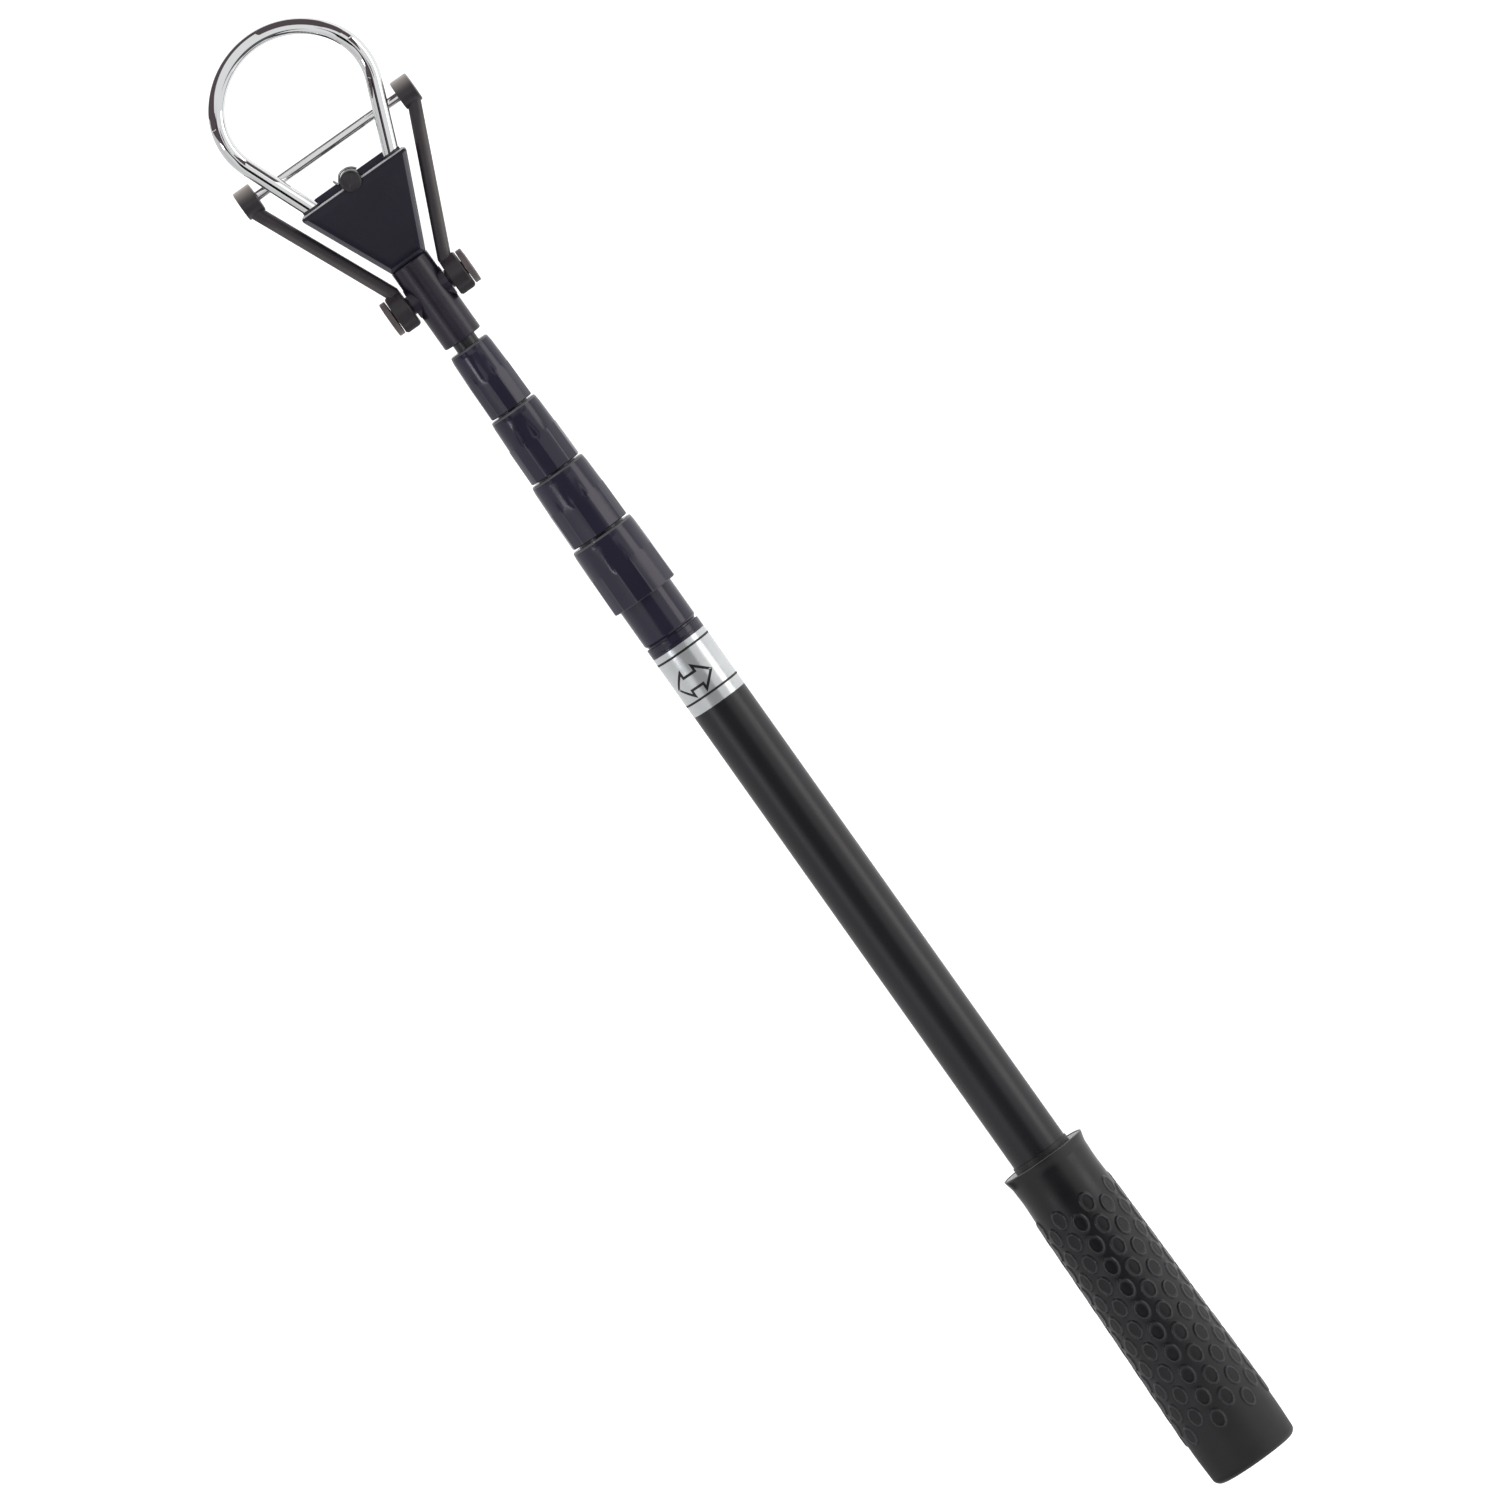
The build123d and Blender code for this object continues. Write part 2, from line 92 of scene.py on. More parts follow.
def mesh_object(name, points, faces, material, sharp=35.0):
    """New smooth-shaded piece from points in metres."""
    data = bpy.data.meshes.new(name)
    data.from_pydata([tuple(p) for p in points], [], faces)
    work = bmesh.new()
    work.from_mesh(data)
    bmesh.ops.recalc_face_normals(work, faces=work.faces)
    work.to_mesh(data)
    work.free()
    smoothed(data, sharp)
    data.materials.append(material)
    piece = bpy.data.objects.new(name, data)
    bpy.context.scene.collection.objects.link(piece)
    return piece


def softened(corners, steps=5):
    """Closed outline whose (along, across) corners are rounded where they name a fillet."""
    count = len(corners)
    points = []
    for i, corner in enumerate(corners):
        here = Vector(corner[:2])
        fillet = corner[2] if len(corner) > 2 else 0.0
        if fillet <= 0:
            points.append(here)
            continue
        before = Vector(corners[i - 1][:2]) - here
        after = Vector(corners[(i + 1) % count][:2]) - here
        half = before.angle(after) / 2
        cut = min(fillet / math.tan(half), 0.49 * before.length, 0.49 * after.length)
        start = here + before.normalized() * cut
        end = here + after.normalized() * cut
        for step in range(steps + 1):
            t = step / steps
            points.append((1 - t) ** 2 * start + 2 * t * (1 - t) * here + t ** 2 * end)
    return [(p.x, p.y) for p in points]


def spin_point(axis, centre, along, radius, angle):
    """A point on a turned shape: axis x is the pole, y across it, z out of the face."""
    c, s = radius * math.cos(angle), radius * math.sin(angle)
    if axis == "x":
        return place(along, centre[1] + s, centre[2] + c)
    if axis == "y":
        return place(centre[0] + s, along, centre[2] + c)
    return place(centre[0] + c, centre[1] + s, along)


def lathe(name, outline, material, turns=120, axis="x", centre=(0, 0, 0), shape=None,
          sharp=35.0):
    """Closed turned mesh through an outline of (along, radius) points.

    Radius 0 closes an end; shape(along, angle, radius) may change a radius.
    """
    points, rings = [], []
    for along, radius in outline:
        ring = []
        if radius < 1e-6:
            points.append(spin_point(axis, centre, along, 0, 0))
            ring = [len(points) - 1] * turns
        else:
            for k in range(turns):
                angle = 2 * math.pi * k / turns
                r = shape(along, angle, radius) if shape else radius
                points.append(spin_point(axis, centre, along, r, angle))
                ring.append(len(points) - 1)
        rings.append(ring)
    faces = []
    solid = outline[0][1] < 1e-6 and outline[-1][1] < 1e-6
    pairs = list(zip(rings, rings[1:]))
    if not solid:
        pairs.append((rings[-1], rings[0]))
    for a, b in pairs:
        for k in range(turns):
            n = (k + 1) % turns
            face = [a[k], a[n], b[n], b[k]]
            face = [v for i, v in enumerate(face) if v != face[i - 1]]
            if len(face) > 2:
                faces.append(face)
    return mesh_object(name, points, faces, material, sharp)


def swept(name, line, radius, material, sides=48):
    """Round wire along a line of (d, y) points, level with the pole's axis."""
    points, faces = [], []
    count = len(line)
    for i, (d, y) in enumerate(line):
        before, after = line[max(i - 1, 0)], line[min(i + 1, count - 1)]
        way = Vector((after[0] - before[0], after[1] - before[1])).normalized()
        for k in range(sides):
            angle = 2 * math.pi * k / sides
            side = radius * math.cos(angle)
            points.append(place(d - way.y * side, y + way.x * side, radius * math.sin(angle)))
    for i in range(count - 1):
        for k in range(sides):
            n = (k + 1) % sides
            a, b = i * sides, (i + 1) * sides
            faces.append([a + k, a + n, b + n, b + k])
    faces.append(list(range(sides)))
    faces.append(list(range((count - 1) * sides, count * sides)))
    return mesh_object(name, points, faces, material, 60.0)


def bevelled(piece, width):
    """Rounds a piece's edges and bakes the modifier into its mesh."""
    modifier = piece.modifiers.new("soft edges", "BEVEL")
    modifier.width = width * MM
    modifier.segments = 3
    modifier.limit_method = "ANGLE"
    modifier.angle_limit = math.radians(35)
    modifier.harden_normals = False
    graph = bpy.context.evaluated_depsgraph_get()
    data = bpy.data.meshes.new_from_object(piece.evaluated_get(graph))
    piece.modifiers.clear()
    old = piece.data
    piece.data = data
    bpy.data.meshes.remove(old)
    data.name = piece.name
    smoothed(data, 50)
    return piece


# ---------------------------------------------------------------- materials


def map_range(tree, value, start, end, low, high):
    """Map Range node: value start gives low, value end gives high."""
    node = tree.nodes.new("ShaderNodeMapRange")
    for key, number in (("From Min", start), ("From Max", end), ("To Min", low), ("To Max", high)):
        node.inputs[key].default_value = number
    tree.links.new(value, node.inputs["Value"])
    return node.outputs["Result"]


class Nodes:
    """Small helper round one material's node tree."""

    def __init__(self, name):
        self.material = bpy.data.materials.new(name)
        self.material.use_nodes = True
        self.tree = self.material.node_tree
        self.shader = self.tree.nodes["Principled BSDF"]
        self.where = self.add("ShaderNodeTexCoord").outputs["Object"]

    def add(self, kind, **settings):
        node = self.tree.nodes.new(kind)
        for key, value in settings.items():
            setattr(node, key, value)
        return node

    def link(self, a, b):
        self.tree.links.new(a, b)

    def noise(self, scale, stretch=(1, 1, 1), detail=4.0, rough=0.55):
        """Noise over the piece; a stretch under 1 draws it out along that axis."""
        mapping = self.add("ShaderNodeMapping")
        mapping.inputs["Scale"].default_value = stretch
        self.link(self.where, mapping.inputs["Vector"])
        noise = self.add("ShaderNodeTexNoise")
        noise.inputs["Scale"].default_value = scale
        noise.inputs["Detail"].default_value = detail
        noise.inputs["Roughness"].default_value = rough
        self.link(mapping.outputs["Vector"], noise.inputs["Vector"])
        return noise.outputs["Fac"]

    def ramp(self, value, stops):
        ramp = self.add("ShaderNodeValToRGB")
        elements = ramp.color_ramp.elements
        while len(elements) < len(stops):
            elements.new(0.5)
        for element, (at, colour) in zip(elements, stops):
            element.position = at
            element.color = (*colour, 1)
        self.link(value, ramp.inputs["Fac"])
        return ramp.outputs["Color"]

    def mottled(self, scale, low, high, detail=4.0, end=0.7):
        """Colour that wanders between two tones."""
        return self.ramp(self.noise(scale, detail=detail), [(0.3, low), (end, high)])

    def axis(self, letter):
        """Place along one axis, in metres."""
        split = self.add("ShaderNodeSeparateXYZ")
        self.link(self.where, split.inputs["Vector"])
        return split.outputs[letter]

    def ranged(self, value, low, high, start=0.3, end=0.7):
        """The value's stretch from start to end, moved to low to high."""
        return map_range(self.tree, value, start, end, low, high)

    def mix(self, factor, a, b):
        node = self.add("ShaderNodeMix", data_type="RGBA")
        self.link(factor, node.inputs["Factor"])
        self.link(a, node.inputs["A"])
        if isinstance(b, tuple):
            node.inputs["B"].default_value = (*b, 1)
        else:
            self.link(b, node.inputs["B"])
        return node.outputs["Result"]

    def combine(self, a, b, kind="ADD"):
        """One maths operation on two values, either of them a socket or a float."""
        node = self.add("ShaderNodeMath", operation=kind)
        for socket, value in zip(node.inputs, (a, b)):
            if isinstance(value, float):
                socket.default_value = value
            else:
                self.link(value, socket)
        return node.outputs["Value"]

    def bump(self, height, strength, distance):
        """Surface relief; distance is in millimetres."""
        node = self.add("ShaderNodeBump")
        node.inputs["Strength"].default_value = strength
        node.inputs["Distance"].default_value = distance * MM
        self.link(height, node.inputs["Height"])
        self.link(node.outputs["Normal"], self.shader.inputs["Normal"])

    def set(self, **values):
        """Sets or links sockets of the shader, named with _ for each space."""
        for key, value in values.items():
            socket = self.shader.inputs[key.replace("_", " ")]
            if hasattr(value, "is_linked"):
                self.link(value, socket)
            else:
                socket.default_value = value


def edge_wear(nodes, colour, worn, start=0.53, end=0.6):
    """Slightly lighter tone along raised edges, broken up by noise."""
    geometry = nodes.add("ShaderNodeNewGeometry")
    edge = nodes.ranged(geometry.outputs["Pointiness"], 0.0, 1.0, start, end)
    broken = nodes.combine(edge, nodes.ranged(nodes.noise(260), 0.2, 1.0), "MULTIPLY")
    return nodes.mix(broken, colour, worn)


# Stretch of the grip from its butt over which its wear fades out.
GRIP_WEAR = (4, 45)


def rubber(name="grip_rubber_look", smooth=0.27, rough=0.36, tone=1.0, shine=0.5):
    """Satin rubber, duller close to the butt, with a fine moulded grain."""
    nodes = Nodes(name)
    low, high = (0.0055, 0.0048, 0.0070), (0.0088, 0.0078, 0.0102)
    low, high = tuple(tone * c for c in low), tuple(tone * c for c in high)
    colour = edge_wear(nodes, nodes.mottled(38, low, high, 5.0), (0.045, 0.043, 0.042))
    start, end = (BUTT + d * MM for d in GRIP_WEAR)
    dull = nodes.ranged(nodes.axis("X"), 0.22, 0.0, start, end)
    worn = nodes.ranged(nodes.noise(120, detail=6.0), smooth, rough)
    nodes.set(Base_Color=colour, Roughness=nodes.combine(worn, dull), Specular_IOR_Level=shine)
    nodes.bump(nodes.noise(2600, detail=2.0), 0.16, 0.04)
    return nodes.material


def painted(name, low, high, smooth, rough):
    """Satin paint on a drawn tube: faint orange peel and lengthwise rub marks."""
    nodes = Nodes(name)
    rub = nodes.noise(420, stretch=(0.04, 1, 1), detail=3.0)
    roughness = nodes.ranged(rub, smooth, rough)
    nodes.set(Base_Color=nodes.mottled(30, low, high), Roughness=roughness)
    peel = nodes.combine(nodes.noise(1100, detail=1.0), nodes.combine(rub, 0.5, "MULTIPLY"))
    nodes.bump(peel, 0.12, 0.03)
    return nodes.material


def gloss_plastic():
    """Polished ferrules with light lengthwise scuffs."""
    nodes = Nodes("gloss_ferrule_look")
    colour = nodes.mottled(45, (0.0190, 0.0165, 0.0350), (0.0245, 0.0215, 0.0430))
    colour = edge_wear(nodes, colour, (0.07, 0.066, 0.078), 0.54, 0.62)
    scuffs = nodes.noise(300, stretch=(0.25, 1, 1), detail=6.0, rough=0.7)
    nodes.set(Base_Color=colour, Roughness=nodes.ranged(scuffs, 0.12, 0.19))
    nodes.bump(nodes.noise(500, detail=2.0), 0.06, 0.03)
    return nodes.material


def satin_plastic(name, low, high, smooth=0.34, rough=0.46, shine=0.5):
    """Moulded plastic with a fine grain and slightly lighter raised edges."""
    nodes = Nodes(name)
    colour = nodes.mottled(55, low, high, 5.0)
    colour = edge_wear(nodes, colour, tuple(2.4 * c for c in high))
    roughness = nodes.ranged(nodes.noise(140, detail=5.0), smooth, rough)
    nodes.set(Base_Color=colour, Roughness=roughness, Specular_IOR_Level=shine)
    nodes.bump(nodes.noise(1900, detail=2.0), 0.22, 0.035)
    return nodes.material


# Middle line of an arm's straight part as (d, y), where the painted highlight on its outer
# side fades in past the hub and out before the tip, and where the tip's crown gets a painted
# highlight.
ARM_LINE = ((425.5, 7.95), (473.5, 29.6))
ARM_PAST_HUB = (427, 431)
ARM_BEFORE_TIP = (463, 468)
ARM_CROWN = (475.2, 479.4)


def gate_plastic():
    """Moulded gate parts with painted highlights: paler towards each arm's outer edge and over the
    crown of its tip.
    """
    nodes = Nodes("arm_painted_highlight_look")
    patches = nodes.noise(55, detail=5.0)
    # A darker tone and a lighter one of the same plastic: the lighter one is a painted highlight.
    inner = nodes.ramp(patches, [(0.3, (0.029, 0.0235, 0.0290)), (0.7, (0.038, 0.0310, 0.0375))])
    outer = nodes.ramp(patches, [(0.3, (0.074, 0.0640, 0.0660)), (0.7, (0.092, 0.0800, 0.0820))])
    along = nodes.axis("X")

    def fade(stretch, low, high):
        """Value that runs from low to high over a stretch of the pole."""
        return nodes.ranged(along, low, high, BUTT + stretch[0] * MM, BUTT + stretch[1] * MM)

    (start_d, start_y), (end_d, end_y) = ARM_LINE
    slope = (end_y - start_y) / (end_d - start_d)
    side = nodes.combine(nodes.axis("Y"), 0.0, "ABSOLUTE")
    across = nodes.combine(side, nodes.combine(along, -slope, "MULTIPLY"))
    middle = start_y * MM - slope * (BUTT + start_d * MM)
    # The outer side of each arm takes the lighter tone: a painted highlight.
    pale = nodes.ranged(across, 0.0, 1.0, middle - 0.1 * MM, middle + 0.9 * MM)
    pale = nodes.combine(pale, fade(ARM_PAST_HUB, 0.0, 1.0), "MULTIPLY")
    pale = nodes.combine(pale, fade(ARM_BEFORE_TIP, 1.0, 0.0), "MULTIPLY")
    # The crown of each tip turns pale: a painted highlight.
    crown = nodes.combine(fade(ARM_CROWN, 0.0, 1.0), 1.6, "POWER")
    colour = nodes.mix(crown, nodes.mix(pale, inner, outer), (0.46, 0.415, 0.385))
    nodes.set(Base_Color=colour, Roughness=nodes.ranged(nodes.noise(140, detail=5.0), 0.30, 0.42))
    nodes.bump(nodes.noise(1900, detail=2.0), 0.22, 0.035)
    return nodes.material


def chrome(name, tint, smooth=0.006, rough=0.028):
    """Bright plating with a faint haze."""
    nodes = Nodes(name)
    haze = nodes.noise(120, detail=6.0, rough=0.65)
    colour = nodes.mottled(60, tint, tuple(min(1, c * 1.05) for c in tint))
    nodes.set(Base_Color=colour, Metallic=1.0, Roughness=nodes.ranged(haze, smooth, rough))
    nodes.bump(nodes.noise(260, detail=2.0), 0.015, 0.03)
    return nodes.material


def foil():
    """Silver foil label: brushed round the tube, with faint creases."""
    nodes = Nodes("foil_label_look")
    brush = nodes.noise(900, stretch=(1, 0.12, 0.12), detail=3.0)
    colour = nodes.mottled(70, (0.68, 0.70, 0.715), (0.78, 0.80, 0.81))
    nodes.set(Base_Color=colour, Metallic=0.6, Roughness=nodes.ranged(brush, 0.16, 0.26))
    nodes.bump(nodes.combine(brush, nodes.noise(90, detail=2.0)), 0.08, 0.04)
    return nodes.material


def ink():
    """Black print of slightly uneven density."""
    nodes = Nodes("label_ink_look")
    colour = nodes.mottled(800, (0.006, 0.006, 0.007), (0.014, 0.014, 0.016), end=0.75)
    nodes.set(Base_Color=colour, Roughness=nodes.ranged(nodes.noise(500), 0.35, 0.55))
    return nodes.material


def spring_steel():
    """Bare wire with fine drawing marks."""
    nodes = Nodes("spring_wire_look")
    colour = nodes.mottled(200, (0.55, 0.55, 0.56), (0.72, 0.72, 0.72))
    roughness = nodes.ranged(nodes.noise(700), 0.14, 0.3)
    nodes.set(Base_Color=colour, Metallic=1.0, Roughness=roughness)
    nodes.bump(nodes.noise(900), 0.1, 0.02)
    return nodes.material


def glowing_liner_plastic():
    """Pale plastic with a faint painted glow, for a sleeve that gets little light where it sits;
    its paleness and glow paint a highlight inside the grip's mouth.
    """
    material = satin_plastic("grip_liner_glow_look", (0.74, 0.73, 0.71), (0.84, 0.83, 0.81), 0.25, 0.35)
    shader = material.node_tree.nodes["Principled BSDF"]
    shader.inputs["Emission Color"].default_value = (1.0, 0.99, 0.97, 1)
    shader.inputs["Emission Strength"].default_value = 0.15
    return material


# One look for each material slot of the record. Plastics and paints have a
# darker and a lighter tone, their lowest and highest roughness, and a shine.
LOOKS = {
    "grip_rubber": rubber(),
    "stop_ring_plastic": satin_plastic(
        "stop_ring_look", (0.010, 0.0095, 0.011), (0.015, 0.014, 0.016)),
    "moulded_plastic": satin_plastic(
        "moulded_look", (0.016, 0.0150, 0.019), (0.023, 0.021, 0.027)),
    "expander_plastic": satin_plastic(
        "expander_look", (0.62, 0.60, 0.55), (0.72, 0.70, 0.64)),
    "painted_tube": painted(
        "handle_paint_look", (0.0105, 0.0095, 0.0130), (0.0150, 0.0135, 0.0175), 0.27, 0.35),
    "section_paint": painted(
        "section_paint_look", (0.016, 0.015, 0.019), (0.022, 0.020, 0.025), 0.22, 0.30),
    "gloss_ferrule": gloss_plastic(),
    "foil_label": foil(),
    "head_plastic": satin_plastic(
        "head_look", (0.0088, 0.0074, 0.0190), (0.0130, 0.0112, 0.0255), 0.26, 0.34, 0.36),
    "boss_plastic": satin_plastic(
        "boss_look", (0.022, 0.018, 0.022), (0.031, 0.026, 0.031), 0.28, 0.38),
    "collar_plastic": satin_plastic(
        "collar_look", (0.012, 0.011, 0.014), (0.018, 0.016, 0.020)),
    "arm_plastic": gate_plastic(),
    "pin_plastic": satin_plastic(
        "pin_look", (0.105, 0.082, 0.086), (0.140, 0.112, 0.115), 0.36, 0.48),
    "chrome_wire": chrome("chrome_wire_look", (0.88, 0.89, 0.90)),
    "chrome_rod": chrome("chrome_rod_look", (0.86, 0.86, 0.86), 0.02, 0.06),
    "spring_wire": spring_steel(),
}

# Looks of details within a piece, and of the neck, whose plastic is a little
# warmer than the plate's. Apart from the print, the details are painted highlights
# on edges, ridges, oval rims and the mouth's liner, and painted shade in the oval dishes.
INK = ink()
# Oval rims 4.2 times lighter than the rubber: a painted highlight.
OVAL_RIM_HIGHLIGHT = rubber("grip_rim_painted_highlight_look", 0.20, 0.28, 4.2)
# Oval dishes a little darker and less shiny than the rubber: painted shade.
OVAL_DISH_SHADE = rubber("grip_dish_painted_shade_look", 0.25, 0.33, 0.85, 0.41)
# Light grey for edges: a painted highlight on the grip's lip, the ferrules' top edges and the
# plate's bevel.
EDGE_HIGHLIGHT = satin_plastic(
    "painted_edge_highlight_look", (0.085, 0.081, 0.093), (0.120, 0.115, 0.130), 0.22, 0.34)
# Lighter, glossier tone: a painted highlight on the ferrules' ridges and the plate's lower edge.
RIDGE_HIGHLIGHT = satin_plastic(
    "ridge_highlight_look", (0.040, 0.037, 0.054), (0.056, 0.052, 0.072), 0.14, 0.22)
# Pale grey: a painted highlight along the plate's top edge.
TOP_EDGE_HIGHLIGHT = satin_plastic(
    "top_edge_highlight_look", (0.44, 0.43, 0.445), (0.54, 0.53, 0.545), 0.22, 0.34)
# Pale and faintly glowing: a painted highlight inside the grip's mouth.
LINER_GLOW = glowing_liner_plastic()
NECK = satin_plastic(
    "neck_look", (0.0120, 0.0080, 0.0185), (0.0175, 0.0130, 0.0255), 0.23, 0.31)

NODE_SLOT = {s["node"]: s["material_slot"] for s in frame["record"]["subparts"]}


def look(node):
    """The look of a CAD node's material slot."""
    return LOOKS[NODE_SLOT[node]]


for node_name, node_object in frame["nodes"].items():
    node_object.data.materials.clear()
    node_object.data.materials.append(NECK if node_name == "head_socket" else look(node_name))


def finished(piece, body, node):
    """Rides on its body and stands in for its CAD node, which it hides."""
    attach(piece, body)
    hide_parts(node)
    return piece


def round_pole(y, z):
    """Angle from the top towards +Y, and distance from the pole's axis."""
    return math.atan2(y, z) % (2 * math.pi), math.hypot(y, z)


def repaint(piece, material, chosen):
    """Gives another look to the faces whose middle (d, y, z) the test accepts."""
    piece.data.materials.append(material)
    index = len(piece.data.materials) - 1
    for polygon in piece.data.polygons:
        x, y, z = polygon.center
        if chosen((x - BUTT) / MM, y / MM, (z - AXIS_Z) / MM):
            polygon.material_index = index


def repaint_band(piece, material, low, high, reach=0.0):
    """Repaints the faces between two places along the pole, at least reach off its axis."""
    repaint(piece, material, lambda d, y, z: low <= d <= high and math.hypot(y, z) >= reach)


# ---------------------------------------------------------------- grip

# Radius of the grip's side along the pole, the closed butt before it and the
# flared mouth after it, all as (d, radius).
GRIP_SIDE = [(3.2, 14.35), (10.0, 14.6), (20.0, 14.6), (50.0, 13.85), (95.0, 13.0),
             (101.0, 12.75), (106.5, 13.0)]
GRIP_BUTT = [(0.9, 0.0), (0.9, 2.0), (0.8, 2.4), (0.45, 2.8), (0.35, 3.2), (0.35, 9.4),
             (0.25, 9.9), (0.0, 10.5)]
GRIP_MOUTH = [(107.6, 13.22), (108.6, 13.48), (109.35, 13.68), (109.75, 13.73),
              (109.93, 13.66), (110.0, 13.5), (110.0, 13.2), (109.9, 13.06),
              (109.6, 12.98), (105.0, 12.9)]
GRIP_BORE = [(105.0, 9.0), (4.0, 9.0), (4.0, 0.0)]
BUTT_FILLET = 2.6
BUTT_FILLET_R = 11.75
GRIP_RINGS = 380
# Where the ovals can be: a stretch of the grip, and a radius that only its
# outer skin is beyond.
OVAL_ZONE_LOW, OVAL_ZONE_HIGH = 12.0, 98.0
GRIP_SKIN_R = 12.0

# Ovals: staggered columns round the grip, each with the same rows. The whole
# ring is turned a little from the top.
OVAL_TURN = math.radians(7.3)
OVAL_COLUMNS = 16
OVAL_ROWS = 10
OVAL_START = 17.7
OVAL_PITCH = 7.83
OVAL_HALF_LONG = 3.1
OVAL_HALF_WIDE = 2.1
OVAL_RISE = 0.42
OVAL_DISH_SHARE = 0.36


def smooth_step(low, high, x):
    """0 up to low, 1 from high on, and an even curve between them."""
    t = max(0.0, min(1.0, (x - low) / (high - low)))
    return t * t * (3 - 2 * t)


def oval_height(reach):
    """Raised rim with a shallow dish inside; reach is 1 at the oval's edge."""
    outside = 1 - smooth_step(0.9, 1.1, reach)
    dish = OVAL_DISH_SHARE * (1 - smooth_step(0.6, 0.9, reach))
    return OVAL_RISE * outside * (1 - dish)


def oval_reach(d, angle, radius):
    """How far a place is from the nearest oval's middle: 1 at its edge."""
    sector = 2 * math.pi / OVAL_COLUMNS
    column = round((angle - OVAL_TURN) / sector)
    across = (angle - OVAL_TURN - column * sector) * radius / OVAL_HALF_WIDE
    first = OVAL_START + OVAL_PITCH / 2 * (column % 2)
    row = max(0, min(OVAL_ROWS - 1, round((d - first) / OVAL_PITCH)))
    along = (d - first - row * OVAL_PITCH) / OVAL_HALF_LONG
    return math.hypot(along, across)


def has_ovals(d, radius):
    """Whether a place is on the grip's outer skin, between its butt and its mouth."""
    return OVAL_ZONE_LOW < d < OVAL_ZONE_HIGH and radius > GRIP_SKIN_R


def grip_relief(d, angle, radius):
    """Radius of the grip with its ovals; angle 0 is the top, growing towards +Y."""
    if not has_ovals(d, radius):
        return radius
    return radius + oval_height(oval_reach(d, angle, radius))


def oval_face(nearest, farthest):
    """Test for faces whose reach from their oval's middle is in a range."""

    def chosen(d, y, z):
        angle, radius = round_pole(y, z)
        return has_ovals(d, radius) and nearest < oval_reach(d, angle, radius) <= farthest

    return chosen


def grip_profile_radius(d):
    """Radius on the straight lines between the profile's corners."""
    for (d0, r0), (d1, r1) in zip(GRIP_SIDE, GRIP_SIDE[1:]):
        if d <= d1:
            return r0 + (r1 - r0) * (d - d0) / (d1 - d0)
    return GRIP_SIDE[-1][1]


def grip_side_radius(d):
    """Radius of the grip's side, eased over the profile's corners past the butt."""
    if d <= 5:
        return grip_profile_radius(d)
    return sum(grip_profile_radius(d + shift) for shift in (-1.5, 0, 1.5)) / 3


def grip_outline():
    """Half section of the grip, from the middle of its butt out and back through its bore."""
    corner = []
    for degrees in range(81, 0, -9):
        turn = math.radians(degrees)
        corner.append((BUTT_FILLET - BUTT_FILLET * math.sin(turn),
                       BUTT_FILLET_R + BUTT_FILLET * math.cos(turn)))
    start, end = GRIP_SIDE[0][0], GRIP_SIDE[-1][0]
    along = [start + (end - start) * i / GRIP_RINGS for i in range(GRIP_RINGS + 1)]
    side = [(d, grip_side_radius(d)) for d in along]
    return GRIP_BUTT + corner + side + GRIP_MOUTH + GRIP_BORE


def rubber_grip():
    """Grip with a painted highlight on the lip at its mouth, and on each oval a painted highlight
    on the rim and painted shade in the darker dish.
    """
    grip = lathe("grip_sleeve", grip_outline(), look("grip"), turns=384, shape=grip_relief,
                 sharp=50.0)
    # Light grey band on the crest of the mouth's lip: a painted highlight.
    repaint_band(grip, EDGE_HIGHLIGHT, 109.55, 109.9, 13.45)
    # Rims of the ovals in the lighter rubber: a painted highlight.
    repaint(grip, OVAL_RIM_HIGHLIGHT, oval_face(0.8, 1.0))
    # Dishes of the ovals in the darker rubber: painted shade.
    repaint(grip, OVAL_DISH_SHADE, oval_face(-1.0, 0.8))
    finished(grip, "handle", "grip")


def mouth_liner():
    """Pale, faintly glowing inner sleeve in the grip's flared mouth: a painted highlight on the
    mouth's inner wall.
    """
    outline = [(105.1, 12.86), (109.55, 12.94), (109.7, 12.9), (109.72, 12.75), (109.6, 12.66),
               (106.2, 12.3), (105.7, 11.9), (105.5, 11.2), (105.5, 9.4), (105.1, 9.4)]
    # Pale, glowing sleeve: a painted highlight on the mouth's inner wall.
    liner = lathe("grip_mouth_liner", outline, LINER_GLOW, turns=192)
    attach(liner, "handle")


rubber_grip()
mouth_liner()

# ---------------------------------------------------------------- tubes and rings

# Outer and inner radius of each tube.
HANDLE_R, HANDLE_BORE = 9.0, 8.3
SECTION_RADII = {2: (7.7, 7.1), 3: (6.4, 5.8), 4: (5.1, 4.5), 5: (3.8, 3.2)}


def tube(name, node, body, outer, inner, rim=0.25):
    """Plain tube over a node's length; rim is the fillet of its outer edges."""
    start, end = span(node)
    corners = [(start, inner, 0.1), (end, inner, 0.1), (end, outer, rim), (start, outer, rim)]
    finished(lathe(name, softened(corners), look(node)), body, node)


def end_ring():
    """Glossy ring at the handle tube's top, with a fine groove near its lower edge."""
    start, end = span("tube_end_ring")
    bore, outer, groove = 8.675, 9.05, 8.98
    corners = [(start, bore), (end, bore), (end, outer, 0.34), (end - 1.1, outer),
               (start + 1.35, outer), (start + 1.2, groove), (start + 1.0, groove),
               (start + 0.85, outer), (start, outer, 0.12)]
    ring = lathe("end_ring", softened(corners), look("tube_end_ring"))
    finished(ring, "handle", "tube_end_ring")


